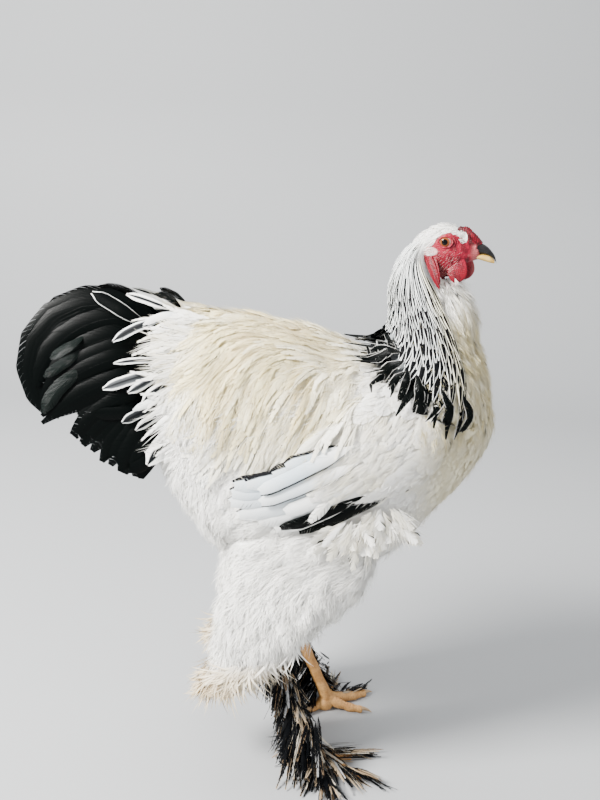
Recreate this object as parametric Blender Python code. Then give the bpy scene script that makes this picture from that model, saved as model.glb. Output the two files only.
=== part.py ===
"""A life-size standing brahma cockerel: feathered body, neck, head, wings, tail and feathered feet.

Metres, +Z up. The bird faces +X and its left side is +Y. Places are given from the point on the
floor midway between the feet; FRAME_SHIFT then moves the origin under the middle of the whole bird.
"""

import math
import random

import bpy
import numpy as np

FRAME_SHIFT = np.array([0.0850, -0.0050, 0.0])
GAP = 0.0003
GROW = 1.5 * GAP
UP = np.array([0.0, 0.0, 1.0])
SIDES = {"left": 1, "right": -1}

# Torso: x, top, bottom and half width of the plumage at stations from rump to breast.
TORSO = [
    (-0.200, 0.470, 0.470, 0.000),
    (-0.190, 0.548, 0.385, 0.054),
    (-0.162, 0.574, 0.325, 0.088),
    (-0.115, 0.578, 0.283, 0.110),
    (-0.050, 0.571, 0.262, 0.122),
    (0.020, 0.551, 0.258, 0.125),
    (0.085, 0.536, 0.288, 0.119),
    (0.140, 0.526, 0.346, 0.102),
    (0.176, 0.512, 0.388, 0.076),
    (0.199, 0.488, 0.420, 0.043),
    (0.208, 0.448, 0.448, 0.000),
]
TORSO_ROUNDNESS = 2.3

# The sheet that the neck's hackle lies on, top to bottom: centre x, centre z, fore-and-aft radius, side
# radius and forward tilt in degrees.
HACKLE_SHEET = [
    (0.113, 0.684, 0.017, 0.018, -20.0),
    (0.101, 0.655, 0.018, 0.0235, 0.0),
    (0.1125, 0.617, 0.0395, 0.036, 5.0),
    (0.128, 0.578, 0.054, 0.056, 12.0),
    (0.136, 0.540, 0.068, 0.086, 20.0),
    (0.130, 0.503, 0.084, 0.116, 26.0),
    (0.115, 0.468, 0.095, 0.134, 30.0),
    (0.105, 0.432, 0.108, 0.146, 33.0),
]
NECK_INSET = 0.0055
# Tiers of hackle feathers: start along the sheet, feathers round the neck, length along the sheet and
# the angle from the throat, in degrees, at which the tier begins.
HACKLE_TIERS = [(0.02, 4, 0.27, 125), (0.15, 6, 0.26, 95), (0.26, 7, 0.26, 62), (0.36, 8, 0.25, 48), (0.45, 9, 0.24, 44)]
CAPE_TIERS = [(0.59, 13, 0.185, 50)]
# The slab under the cape's feathers: its ends along the sheet, its inner and outer lift and its front
# edge, in degrees from the throat.
CAPE_ENDS = (0.57, 0.70)
CAPE_LIFTS = (-0.0042, -0.0018)
CAPE_FRONT = 46

# Head, from a point between the eyes: skull stations of x, top, bottom and half width.
HEAD_PLACE = np.array([0.134, 0.0, 0.674])
HEAD_YAW = math.radians(-13)
SKULL = [
    (-0.042, -0.013, -0.013, 0.000),
    (-0.036, 0.002, -0.027, 0.0130),
    (-0.025, 0.013, -0.031, 0.0170),
    (-0.012, 0.0200, -0.0375, 0.0188),
    (0.002, 0.0220, -0.0395, 0.0188),
    (0.015, 0.0195, -0.0350, 0.0165),
    (0.027, 0.0120, -0.0215, 0.0128),
    (0.036, 0.0050, -0.0170, 0.0095),
    (0.041, 0.0015, -0.0140, 0.0064),
    (0.0425, -0.0060, -0.006, 0.000),
]
# Height above which white feathers cover the skull, by x.
CROWN_EDGE = [(-0.038, -0.022), (-0.028, -0.008), (-0.018, 0.004), (-0.006, 0.0130), (0.004, 0.0150), (0.014, 0.0120), (0.020, 0.0065)]
EYE_MIDDLE = np.array([0.002, 0.0160, 0.0042])
EYE_RADII = np.array([0.0061, 0.0052, 0.0058])
LID_RADIUS = 0.0066
LID_THICK = 0.0012
UPPER_BEAK = [
    (0.030, 0.0050, -0.0113, 0.0080),
    (0.0385, 0.0035, -0.0123, 0.0074),
    (0.0455, 0.0006, -0.0138, 0.0064),
    (0.0517, -0.0036, -0.0153, 0.0050),
    (0.0560, -0.0088, -0.0170, 0.0035),
]
UPPER_TIP = (0.0582, 0.0, -0.0190)
LOWER_BEAK = [
    (0.029, -0.0118, -0.0170, 0.0070),
    (0.0385, -0.0131, -0.0170, 0.0062),
    (0.0470, -0.0148, -0.0184, 0.0048),
]
LOWER_TIP = (0.0545, 0.0, -0.0180)
NOSTRIL = (0.0370, 0.0082, -0.0012)

# Wing: shoulder and tip of the folded wing in side view, its greatest half width and its thickness.
WING_SHOULDER = np.array([0.146, 0.469])
WING_TIP = np.array([-0.104, 0.392])
WING_HALF = 0.066
WING_THICK = 0.011
WING_AXIS = (WING_TIP - WING_SHOULDER) / np.linalg.norm(WING_TIP - WING_SHOULDER)
WING_UP = np.array([WING_AXIS[1], -WING_AXIS[0]])
WING_LENGTH = float(np.linalg.norm(WING_TIP - WING_SHOULDER))

# Tail.
TAIL_ROOT = np.array([-0.186, 0.0, 0.492])
TAIL_ROOT_RADII = (0.046, 0.046, 0.076)
TAIL_RIDGE_Z = 0.602
TAIL_SPREAD = 0.056
TAIL_FALL = 0.085

# Thigh: centre x, centre z, fore-and-aft radius, side radius and tilt in degrees, top to bottom.
THIGH = [
    (-0.010, 0.345, 0.060, 0.040, 0.0),
    (-0.014, 0.320, 0.090, 0.056, 0.0),
    (-0.022, 0.270, 0.096, 0.062, -6.0),
    (-0.032, 0.225, 0.094, 0.061, -16.0),
    (-0.054, 0.182, 0.084, 0.054, -28.0),
    (-0.077, 0.152, 0.064, 0.043, -34.0),
    (-0.087, 0.138, 0.034, 0.025, -36.0),
]
STANCE = 0.066
# Each leg: the hock, the ankle and how far the middle toe turns outwards.
LEGS = {
    "left": (np.array([-0.040, 0.068, 0.168]), np.array([0.026, 0.071, 0.0215]), math.radians(33)),
    "right": (np.array([-0.046, -0.064, 0.168]), np.array([0.008, -0.063, 0.0215]), math.radians(26)),
}
SHANK_RADIUS = 0.0078
# Toes: turn outwards from the middle toe in degrees, length without the claw, radius at the root.
TOES = {
    "middle": (0, 0.068, 0.0078),
    "outer": (42, 0.052, 0.0070),
    "inner": (-40, 0.052, 0.0070),
    "hind": (178, 0.024, 0.0060),
}
CLAW_LENGTH = 0.015

COLOURS = {
    "plumage": ((0.86, 0.84, 0.78), 0.8),
    "hackle": ((0.76, 0.76, 0.72), 0.7),
    "wing": ((0.88, 0.88, 0.87), 0.7),
    "black_feather": ((0.012, 0.016, 0.016), 0.45),
    "leg_feather": ((0.16, 0.15, 0.13), 0.7),
    "red_skin": ((0.62, 0.035, 0.055), 0.5),
    "horn": ((0.72, 0.58, 0.32), 0.35),
    "dark_horn": ((0.06, 0.06, 0.06), 0.35),
    "eye": ((0.35, 0.10, 0.02), 0.08),
    "scale": ((0.62, 0.33, 0.10), 0.5),
}

draw = random.Random(7)


# Curves and frames

def unit(v):
    """v, or each row of v, at length one."""
    v = np.asarray(v, float)
    size = np.linalg.norm(v, axis=-1, keepdims=True)
    return v / np.maximum(size, 1e-12)


def smooth_rows(rows, at):
    """Rows read as a smooth curve at a place from 0, the first row, to 1, the last."""
    rows = np.asarray(rows, float)
    last = len(rows) - 1
    place = min(max(at, 0.0), 1.0) * last
    i = min(int(place), last - 1)
    t = place - i
    before, a, b, after = rows[max(i - 1, 0)], rows[i], rows[i + 1], rows[min(i + 2, last)]
    slope_a, slope_b = (b - before) / 2, (after - a) / 2
    return (
        (2 * t**3 - 3 * t**2 + 1) * a
        + (t**3 - 2 * t**2 + t) * slope_a
        + (-2 * t**3 + 3 * t**2) * b
        + (t**3 - t**2) * slope_b
    )


def place_of_x(rows, x):
    """Where along the rows their first column reaches x, from 0 to 1."""
    low, high = 0.0, 1.0
    for _ in range(30):
        middle = (low + high) / 2
        if smooth_rows(rows, middle)[0] < x:
            low = middle
        else:
            high = middle
    return (low + high) / 2


def rounded(angle, power):
    """Point of a superellipse with unit radii, its side and its height."""
    c, s = math.cos(angle), math.sin(angle)
    return math.copysign(abs(c) ** (2 / power), c), math.copysign(abs(s) ** (2 / power), s)


def torso_point(x, angle, lift=0.0):
    """Point of the plumage at x and its outward normal; the angle goes from +Y up over the back."""
    def at(x, angle):
        _, top, bottom, half = smooth_rows(TORSO, place_of_x(TORSO, x))
        side, height = rounded(angle, TORSO_ROUNDNESS)
        return np.array([x, half * side, (top + bottom) / 2 + (top - bottom) / 2 * height])

    here = at(x, angle)
    along = at(x + 0.004, angle) - at(x - 0.004, angle)
    around = at(x, angle + 0.03) - at(x, angle - 0.03)
    normal = unit(np.cross(around, along))
    return here + normal * lift, normal


def torso_side(x, z):
    """Half width of the plumage at x and height z."""
    _, top, bottom, half = smooth_rows(TORSO, place_of_x(TORSO, x))
    share = min(abs(z - (top + bottom) / 2) / max((top - bottom) / 2, 1e-6), 0.88)
    return half * (1 - share**TORSO_ROUNDNESS) ** (1 / TORSO_ROUNDNESS)


def torso_height(x, y, up):
    """Height of the plumage's back, for up 1, or belly, for up -1, at x and y."""
    _, top, bottom, half = smooth_rows(TORSO, place_of_x(TORSO, x))
    share = min(abs(y) / half, 0.97)
    return (top + bottom) / 2 + up * (top - bottom) / 2 * (1 - share**TORSO_ROUNDNESS) ** (1 / TORSO_ROUNDNESS)


def sheet_point(rows, along, angle):
    """Point on a tube of rows; the angle goes from the front, over +Y, to the back."""
    x, z, fore, wide, tilt = smooth_rows(rows, along)
    tilt = math.radians(tilt)
    forward = math.cos(angle) * fore
    return np.array([x + forward * math.cos(tilt), math.sin(angle) * wide, z - forward * math.sin(tilt)])


def sheet_normal(rows, along, angle):
    """Outward normal of a tube of rows."""
    ahead = sheet_point(rows, along + 0.02, angle) - sheet_point(rows, along - 0.02, angle)
    beside = sheet_point(rows, along, angle + 0.03) - sheet_point(rows, along, angle - 0.03)
    return unit(np.cross(ahead, beside))


def shingled(s, sunk, low, high):
    """Height of a feather over its sheet: sunk at the root, low where it comes out, high at its tip."""
    if s < 0.25:
        return -sunk + (low + sunk) * s / 0.25
    return low + (high - low) * (s - 0.25) / 0.75


# Closed pieces: each is its points and its faces

def closed_loft(rings):
    """Closed piece through rings of equal count; a ring of one point is a pole."""
    points, faces, starts = [], [], []
    for ring in rings:
        starts.append(len(points))
        points.extend(ring)
    for a, b, first, second in zip(rings, rings[1:], starts, starts[1:]):
        count = max(len(a), len(b))
        for k in range(count):
            n = (k + 1) % count
            if len(a) == 1:
                faces.append((first, second + n, second + k))
            elif len(b) == 1:
                faces.append((first + k, first + n, second))
            else:
                faces.append((first + k, first + n, second + n))
                faces.append((first + k, second + n, second + k))
    for ring, start, step in ((rings[0], starts[0], -1), (rings[-1], starts[-1], 1)):
        if len(ring) > 1:
            faces.append(tuple(start + k for k in range(len(ring)))[::step])
    return facing_out(np.array(points, float), faces)


def facing_out(points, faces):
    """The piece with every face turned round if it encloses a negative volume."""
    volume = 0.0
    for face in faces:
        for i in range(1, len(face) - 1):
            volume += np.dot(points[face[0]], np.cross(points[face[i]], points[face[i + 1]]))
    return points, faces if volume > 0 else [tuple(reversed(f)) for f in faces]


def rounded_loft(stations, count, power=2.2, start=None, end=None):
    """Closed piece along x through stations of x, top, bottom and half width, with points for its ends."""
    rings = [[np.array(start)]] if start is not None else []
    for x, top, bottom, half in stations:
        ring = []
        for k in range(count):
            side, height = rounded(2 * math.pi * (k + 0.5) / count, power)
            ring.append(np.array([x, half * side, (top + bottom) / 2 + (top - bottom) / 2 * height]))
        rings.append(ring)
    if end is not None:
        rings.append([np.array(end)])
    return closed_loft(rings)


def ellipsoid(centre, radii, around=12, rows=8):
    """Closed ellipsoid with its poles up and down."""
    rings = [[centre + np.array([0, 0, -radii[2]])]]
    for j in range(1, rows):
        low = -math.pi / 2 + math.pi * j / rows
        rings.append([
            centre + np.array([
                radii[0] * math.cos(low) * math.cos(2 * math.pi * k / around),
                radii[1] * math.cos(low) * math.sin(2 * math.pi * k / around),
                radii[2] * math.sin(low),
            ])
            for k in range(around)
        ])
    rings.append([centre + np.array([0, 0, radii[2]])])
    return closed_loft(rings)


def box_piece(corner, opposite):
    """Closed box between two opposite corners."""
    (x, y, z), (u, v, w) = corner, opposite
    rings = [[np.array([p, q, r]) for p, q in ((x, y), (u, y), (u, v), (x, v))] for r in (z, w)]
    return closed_loft(rings)


def tube(path, radii, around=8, flat_floor=False):
    """Closed tapered tube along a path; its underside is flat where it meets the floor."""
    path = np.asarray(path, float)
    rings = []
    for i, (centre, radius) in enumerate(zip(path, radii)):
        if radius <= 0:
            rings.append([centre])
            continue
        along = unit(path[min(i + 1, len(path) - 1)] - path[max(i - 1, 0)])
        side = unit(np.cross(along, UP if abs(along[2]) < 0.9 else np.array([1.0, 0, 0])))
        over = np.cross(side, along)
        ring = []
        for k in range(around):
            angle = 2 * math.pi * (k + (around % 4) / 4) / around
            p = centre + radius * (math.cos(angle) * side + math.sin(angle) * over)
            if flat_floor:
                p[2] = max(p[2], 0.0)
            ring.append(p)
        rings.append(ring)
    return closed_loft(rings)


def vane(path, normals, half_widths, thick):
    """Closed flat feather along a path, ending in a point, with its two faces split alike."""
    path = np.asarray(path, float)
    points, faces = [], []
    last = len(path) - 1
    for i in range(last):
        along = unit(path[i + 1] - path[max(i - 1, 0)])
        normal = unit(normals[i] - along * np.dot(normals[i], along))
        wide = np.cross(along, normal) * half_widths[i]
        over = normal * thick / 2
        points += [path[i] - wide + over, path[i] + wide + over, path[i] + wide - over, path[i] - wide - over]
    for i in range(last - 1):
        a, b = i * 4, (i + 1) * 4
        faces += [(a, a + 1, b + 1), (a, b + 1, b)]
        faces += [(a + 3, b + 3, b + 2), (a + 3, b + 2, a + 2)]
        faces += [(a + 1, a + 2, b + 2), (a + 1, b + 2, b + 1)]
        faces += [(a, b, b + 3), (a, b + 3, a + 3)]
    tip = len(points)
    points.append(path[last])
    start = (last - 1) * 4
    faces = [tuple(reversed(f)) for f in faces]
    faces += [(start + (k + 1) % 4, start + k, tip) for k in range(4)]
    faces.append((0, 1, 2, 3))
    faces = [tuple(reversed(f)) for f in faces]
    return facing_out(np.array(points, float), faces)


def outward_normals(piece):
    """Normal at each point of a piece, from the faces that meet there."""
    points, faces = piece
    normals = np.zeros_like(points)
    for face in faces:
        for i in range(1, len(face) - 1):
            n = np.cross(points[face[i]] - points[face[0]], points[face[i + 1]] - points[face[0]])
            for k in (face[0], face[i], face[i + 1]):
                normals[k] += n / max(np.linalg.norm(n), 1e-12)
    return unit(normals)


def to_head(piece):
    """A piece modelled about the eyes, turned and set in place."""
    points, faces = piece
    c, s = math.cos(HEAD_YAW), math.sin(HEAD_YAW)
    turn = np.array([[c, -s, 0], [s, c, 0], [0, 0, 1]])
    return points @ turn.T + HEAD_PLACE, faces


# Nodes

def mesh_object(name, piece):
    """A mesh object of one piece, in the object's frame."""
    points, faces = piece
    mesh = bpy.data.meshes.new(name)
    mesh.from_pydata([tuple(p + FRAME_SHIFT) for p in points], [], [list(f) for f in faces])
    obj = bpy.data.objects.new(name, mesh)
    bpy.context.scene.collection.objects.link(obj)
    return obj


def apply_boolean(obj, others, operation):
    """Joins the others to obj, or cuts them from it, and removes them."""
    if not others:
        return
    group = bpy.data.collections.new("operands")
    bpy.context.scene.collection.children.link(group)
    for other in others:
        bpy.context.scene.collection.objects.unlink(other)
        group.objects.link(other)
    modifier = obj.modifiers.new("join", "BOOLEAN")
    modifier.operation = operation
    modifier.operand_type = "COLLECTION"
    modifier.collection = group
    modifier.solver = "MANIFOLD"
    bpy.context.view_layer.update()
    graph = bpy.context.evaluated_depsgraph_get()
    made = bpy.data.meshes.new_from_object(obj.evaluated_get(graph))
    obj.modifiers.clear()
    old = obj.data
    obj.data = made
    bpy.data.meshes.remove(old)
    for other in others:
        bpy.data.objects.remove(other)
    bpy.data.collections.remove(group)


def keep_largest(obj):
    """Leaves only the largest closed surface of a mesh."""
    mesh = obj.data
    parent = list(range(len(mesh.vertices)))

    def root(i):
        while parent[i] != i:
            parent[i] = parent[parent[i]]
            i = parent[i]
        return i

    for edge in mesh.edges:
        a, b = (root(i) for i in edge.vertices)
        if a != b:
            parent[a] = b
    points = np.array([v.co for v in mesh.vertices])
    shells = {}
    for polygon in mesh.polygons:
        shells.setdefault(root(polygon.vertices[0]), []).append(tuple(polygon.vertices))

    def volume(faces):
        total = 0.0
        for f in faces:
            for i in range(1, len(f) - 1):
                total += np.dot(points[f[0]], np.cross(points[f[i]], points[f[i + 1]]))
        return total

    best = max(shells.values(), key=volume)
    used = sorted({i for f in best for i in f})
    new = {old: i for i, old in enumerate(used)}
    kept = bpy.data.meshes.new(obj.name)
    kept.from_pydata([tuple(points[i]) for i in used], [], [[new[i] for i in f] for f in best])
    obj.data = kept
    bpy.data.meshes.remove(mesh)


def material(name):
    """The Principled material of that name."""
    if name in bpy.data.materials:
        return bpy.data.materials[name]
    made = bpy.data.materials.new(name)
    made.use_nodes = True
    colour, rough = COLOURS[name]
    shader = made.node_tree.nodes["Principled BSDF"]
    shader.inputs["Base Color"].default_value = (*colour, 1)
    shader.inputs["Roughness"].default_value = rough
    shader.inputs["Metallic"].default_value = 0.0
    return made


built = {}


def node(name, pieces, finish, clear_of=(), cuts=()):
    """One node: its pieces joined, cut clear of the nodes that it meets, in its material."""
    built[name] = pieces
    obj = mesh_object(name, pieces[0])
    apply_boolean(obj, [mesh_object("piece", p) for p in pieces[1:]], "UNION")
    grown = []
    for other in clear_of:
        for piece in built[other]:
            points, faces = piece
            grown.append(mesh_object("keep_out", (points + outward_normals(piece) * GROW, faces)))
    grown += [mesh_object("cut", piece) for piece in cuts]
    apply_boolean(obj, grown, "DIFFERENCE")
    keep_largest(obj)
    obj.data.materials.append(material(finish))
    return obj


# Torso and saddle

def torso_core():
    along, around = 13, 20
    stations = [smooth_rows(TORSO, j / along) for j in range(1, along)]
    start = [TORSO[0][0], 0, TORSO[0][1]]
    end = [TORSO[-1][0], 0, TORSO[-1][1]]
    return rounded_loft(stations, around, TORSO_ROUNDNESS, start, end)


def saddle_vanes():
    """Long saddle feathers in tiers, from the middle of the back down over the flanks."""
    pieces = []
    tiers = ((4, 40, 0.055), (27, 40, 0.060), (50, 38, 0.060))
    for number, (root, span, sweep) in enumerate(tiers):
        for k in range(6 - number):
            for side in SIDES.values():
                start_x = -0.150 + 0.033 * (k + 0.5 * (number % 2)) + draw.uniform(-0.003, 0.003)
                reach = span * (1.15 - 4.2 * max(start_x + 0.09, 0)) + draw.uniform(-2, 2)
                path, normals, step = [], [], 0.0013 * (k % 2)
                for s in (0.0, 0.25, 0.65, 1.0):
                    x = max(start_x - sweep * s**0.9, -0.192 + 0.004 * s)
                    angle = math.pi / 2 - side * math.radians(root + reach * s)
                    point, normal = torso_point(x, angle, shingled(s, 0.005, 0.0012, 0.0052) + step)
                    path.append(point)
                    normals.append(normal)
                pieces.append(vane(path, normals, [0.0050, 0.0095, 0.0085, 0], 0.0010))
    return pieces


def breast_locks():
    """Loose tufts below the breast, in front of the thighs."""
    pieces = []
    for side in SIDES.values():
        for k in range(3):
            root = np.array([0.096 - 0.011 * k, side * (0.052 + 0.015 * k), 0.0])
            root[2] = torso_height(root[0], root[1], -1) + 0.008
            heading = np.array([0.55 - 0.30 * k, side * 0.20, -1.0]) * 0.0115
            path = [root + heading * s for s in (0.0, 1.7, 2.8)]
            normals = [np.array([0.8, side * 0.7, 0.6])] * 3
            pieces.append(vane(path, normals, [0.0070, 0.0095, 0], 0.0014))
    return pieces


# Neck, hackle and cape

def tube_rows(rows, around, along, first, last, inset):
    """Closed tube of rows between two places along it, drawn in by the inset."""
    rings = []
    for j in range(along + 1):
        at = first + (last - first) * j / along
        ring = []
        for k in range(around):
            angle = 2 * math.pi * k / around
            ring.append(sheet_point(rows, at, angle) - sheet_normal(rows, at, angle) * inset)
        rings.append(ring)
    return closed_loft(rings)


def collar_vanes(tiers, wide, sunk, low, high, over_back=-1):
    """Pointed feathers in tiers that follow the hackle's sheet; tier over_back trails over the back."""
    pieces = []
    for number, (start, count, reach, clear) in enumerate(tiers):
        begin = math.radians(clear)
        whole = 2 * math.pi - 2 * begin
        for k in range(count):
            share = (k + 0.5 * (number % 2) + 0.25) / count
            angle = begin + whole * share + draw.uniform(-0.03, 0.03)
            front = max(0.0, math.cos(angle))
            long = reach * (1 - 0.25 * front) * draw.uniform(0.93, 1.07)
            step = 0.0013 * (k % 2)
            path, normals = [], []
            for s in (0.0, 0.25, 0.65, 1.0):
                along = start + long * s
                normal = sheet_normal(HACKLE_SHEET, along, angle)
                point = sheet_point(HACKLE_SHEET, along, angle) + normal * (shingled(s, sunk, low, high) + step)
                if number == over_back and math.cos(angle) < -0.4 and s > 0.3:
                    point[0] -= 0.024 * s
                    point[2] = max(point[2], torso_height(point[0], point[1], 1) + 0.0030)
                    normal = unit(normal + UP)
                path.append(point)
                normals.append(normal)
            half = wide * (1 + 0.16 * number)
            pieces.append(vane(path, normals, [half * 0.7, half, half * 0.85, 0], 0.0010))
    return pieces


def cape_slab(side):
    """Curved slab from beside the breast round to the middle of the back."""
    rings = []
    for k in range(10):
        angle = side * math.radians(CAPE_FRONT + (179.4 - CAPE_FRONT) * k / 9)
        ring = []
        for share, lift in ((0, 0), (0.5, 0), (1, 0), (1, 1), (0.5, 1), (0, 1)):
            along = CAPE_ENDS[0] + (CAPE_ENDS[1] - CAPE_ENDS[0]) * share
            normal = sheet_normal(HACKLE_SHEET, along, angle)
            ring.append(sheet_point(HACKLE_SHEET, along, angle) + normal * CAPE_LIFTS[lift])
        rings.append(ring)
    return closed_loft(rings)


def crown():
    """White feathers over the top of the skull, down to the nape."""
    stations = []
    for x, edge in CROWN_EDGE:
        _, top, _, half = smooth_rows(SKULL, place_of_x(SKULL, x))
        stations.append((x, top + 0.0026, edge, half + 0.0016))
    rings = []
    for x, top, edge, half in stations:
        ring = []
        for k in range(10):
            side, height = rounded(math.pi * k / 9, 2.2)
            ring.append(np.array([x, half * side, edge + (top - edge) * height]))
        rings.append(ring)
    return closed_loft(rings)


# Head

def skull():
    stations = [smooth_rows(SKULL, j / 10) for j in range(1, 10)]
    return rounded_loft(stations, 14, 2.2, [SKULL[0][0], 0, SKULL[0][1]], [SKULL[-1][0], 0, SKULL[-1][1]])


def eye_piece(side):
    return ellipsoid(EYE_MIDDLE * np.array([1, side, 1]), EYE_RADII, 10, 7)


def lid_ring(side):
    """The lids as one almond ring about the eye."""
    around, section = 12, 4
    rings = []
    for k in range(around):
        angle = 2 * math.pi * k / around
        almond = 1 + 0.16 * abs(math.cos(angle)) ** 3
        across = np.array([LID_RADIUS * 1.08 * almond * math.cos(angle), 0, LID_RADIUS * 0.95 * math.sin(angle)])
        out = unit(across)
        lift = side * (0.0027 - 0.0008 * abs(math.cos(angle)))
        centre = EYE_MIDDLE * np.array([1, side, 1]) + across + np.array([0, lift, 0])
        rings.append([
            centre + LID_THICK * (math.cos(a) * out + 1.25 * math.sin(a) * np.array([0, side, 0]))
            for a in (2 * math.pi * m / section for m in range(section))
        ])
    points = [p for ring in rings for p in ring]
    faces = []
    for k in range(around):
        n = (k + 1) % around
        for m in range(section):
            q = (m + 1) % section
            faces.append((k * section + m, k * section + q, n * section + q))
            faces.append((k * section + m, n * section + q, n * section + m))
    return facing_out(np.array(points), faces)


def ear_tuft(side):
    """Short stiff feathers that cover the ear."""
    pieces = []
    for k in range(1):
        start = np.array([-0.0110, side * 0.0165, -0.0075 - 0.0058 * k])
        path = [start + np.array([-0.0050 * s, side * 0.0013 * s, -0.0012 * s]) for s in (0, 1, 2, 3)]
        pieces.append(vane(path, [np.array([0, side, 0.2])] * 4, [0.0028, 0.0036, 0.0028, 0], 0.0014))
    return pieces


def nostril(side):
    return ellipsoid(np.array(NOSTRIL) * np.array([1, side, 1]), (0.0026, 0.0020, 0.0011), 6, 4)


def comb_pieces():
    """Pea comb: a middle row of bumps with a lower row on each side, down the slope of the forehead."""
    base = [(0.014, 0.0180), (0.023, 0.0145), (0.032, 0.0085), (0.0400, 0.0015)]
    corners = ((-0.006, -1), (0.006, -1), (0.005, 1), (-0.005, 1))
    rings = [[np.array([x + 0.0030 * up, y, z + 0.0034 * up]) for y, up in corners] for x, z in base]
    pieces = [closed_loft(rings)]
    for row, bumps in ((0, 5), (1, 3), (-1, 3)):
        for k in range(bumps):
            s = (k + 0.5) / bumps
            x = 0.0150 + 0.0255 * s if row == 0 else 0.0180 + 0.0205 * s
            slope = 0.0185 - 0.0175 * s**1.25
            swell = 0.6 + 0.4 * math.sin(math.pi * min(s + 0.12, 1))
            height = (0.0044 if row == 0 else 0.0010) * swell
            radii = (0.0031, 0.0029, 0.0058 * swell) if row == 0 else (0.0028, 0.0027, 0.0046 * swell)
            pieces.append(ellipsoid(np.array([x, row * 0.0048, slope + height]), radii, 6, 4))
    return pieces


def flap(top, bottom, half_width, thick, side, fold, swell_at):
    """Fleshy flap hanging between two points, folded across its width and fullest at swell_at."""
    top, bottom = np.asarray(top, float), np.asarray(bottom, float)
    along = bottom - top
    across = unit(np.cross(along, np.array([0, 1.0, 0])))
    around, rows = 9, 6
    rings = [[top]]
    for j in range(1, rows):
        s = j / rows
        swell = math.sin(math.pi * s ** (math.log(0.5) / math.log(swell_at))) ** 0.65
        centre = top + along * s + np.array([0, side * 0.0025 * math.sin(math.pi * s), 0])
        ring = []
        for k in range(around):
            angle = 2 * math.pi * k / around
            w, t = math.cos(angle), math.sin(angle)
            bend = fold * (w * w - 0.5)
            ring.append(centre + across * half_width * swell * w + np.array([0, side * (thick * swell * t + bend), 0]))
        rings.append(ring)
    rings.append([bottom])
    return closed_loft(rings)


# Wing

def wing_point(along, across, lift, side):
    """Point over the flank, from shoulder 0 to tip 1 and across in half widths, lifted off the body."""
    flat = WING_SHOULDER + WING_AXIS * along * WING_LENGTH + WING_UP * across * WING_HALF
    x, z = flat
    return np.array([x, side * (torso_side(min(max(x, -0.15), 0.15), z) + lift), z])


def wing_middle(along):
    """Height of the wing's middle line above its axis, in half widths."""
    return 0.30 - 0.62 * along


def wing_swell(share):
    """Half width of the wing's fleshy part as a share of the greatest."""
    return math.sin(math.pi * min(max(share, 0.0), 1.0) ** 0.60) ** 0.55


def wing_core(side):
    """Fleshy part of the folded wing, a low dome that ends short of the flight feathers' tips."""
    around, rows, reach = 10, 8, 0.76
    rings = [[wing_point(0.0, wing_middle(0), 0.002, side)]]
    for j in range(1, rows):
        share = j / rows
        along = reach * share
        wide = 0.90 * wing_swell(share)
        ring = []
        for k in range(around):
            angle = 2 * math.pi * k / around
            dome = math.sin(angle)
            lift = 0.003 + WING_THICK * dome * wing_swell(share) if dome > 0 else 0.003 + 0.012 * dome
            ring.append(wing_point(along, wing_middle(along) + wide * math.cos(angle), lift, side))
        rings.append(ring)
    rings.append([wing_point(reach, wing_middle(reach), 0.004, side)])
    return closed_loft(rings)


def wing_vane(side, start, end, lift_start, lift_end, half_width, thick=0.0010):
    """A wing feather from start to end, each along and across, over the flank."""
    path, normals = [], []
    for s in (0.0, 0.35, 0.85, 1.0):
        a = start[0] + (end[0] - start[0]) * s
        c = start[1] + (end[1] - start[1]) * s
        lift = lift_start + (lift_end - lift_start) * s
        here = wing_point(a, c, lift, side)
        ahead = wing_point(a + 0.04, c, lift, side)
        over = wing_point(a, c + 0.08, lift, side)
        normal = unit(np.cross(ahead - here, over - here))
        path.append(here)
        normals.append(normal if normal[1] * side > 0 else -normal)
    return vane(path, normals, [half_width * 0.7, half_width, half_width * 0.85, 0], thick)


def primary_vanes(side):
    """The longest flight feathers, which show below the folded wing."""
    tips = ((0.66, -1.06), (0.81, -0.95))
    return [
        wing_vane(side, (0.30 + 0.03 * k, -0.66 + 0.06 * k), tip, 0.0015 + 0.0008 * k, 0.0035 + 0.0008 * k, 0.0100)
        for k, tip in enumerate(tips)
    ]


def wing_vanes(side):
    """Secondaries from the lowest, inmost one up, then two tiers of coverts on the fleshy part."""
    pieces = []
    tips = ((0.89, -0.82), (0.97, -0.52), (1.01, -0.22), (0.98, 0.05), (0.89, 0.24))
    for k, tip in enumerate(tips):
        root = (0.60, -0.60 + 0.20 * k)
        pieces.append(wing_vane(side, root, tip, 0.0060 + 0.0008 * k, 0.0056 + 0.0015 * k, 0.0125))
    for root, tip, count in ((0.44, 0.78, 4), (0.22, 0.56, 4)):
        for k in range(count):
            share = (k + 0.5) / count
            path, normals, step = [], [], 0.0012 * (k % 2)
            for s in (0.0, 0.30, 0.75, 1.0):
                along = root + (tip - root) * s - 0.05 * abs(share - 0.5)
                wide = 0.86 * (wing_swell(along / 0.76) if along < 0.5 else 0.80 - 0.8 * (along - 0.5))
                across = wing_middle(along) + wide * (2 * share - 1)
                dome = math.sqrt(max(1 - (2 * share - 1) ** 2, 0))
                skin = 0.003 + WING_THICK * dome * (wing_swell(along / 0.76) if along < 0.60 else 0.80)
                here = wing_point(along, across, skin + shingled(s, 0.004, 0.0010, 0.0030) + step, side)
                path.append(here)
                normals.append(np.array([0.05, side, 0.35 * (2 * share - 1)]))
            pieces.append(vane(path, normals, [0.0095, 0.0145, 0.0125, 0], 0.0010))
    return pieces


# Tail

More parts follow.
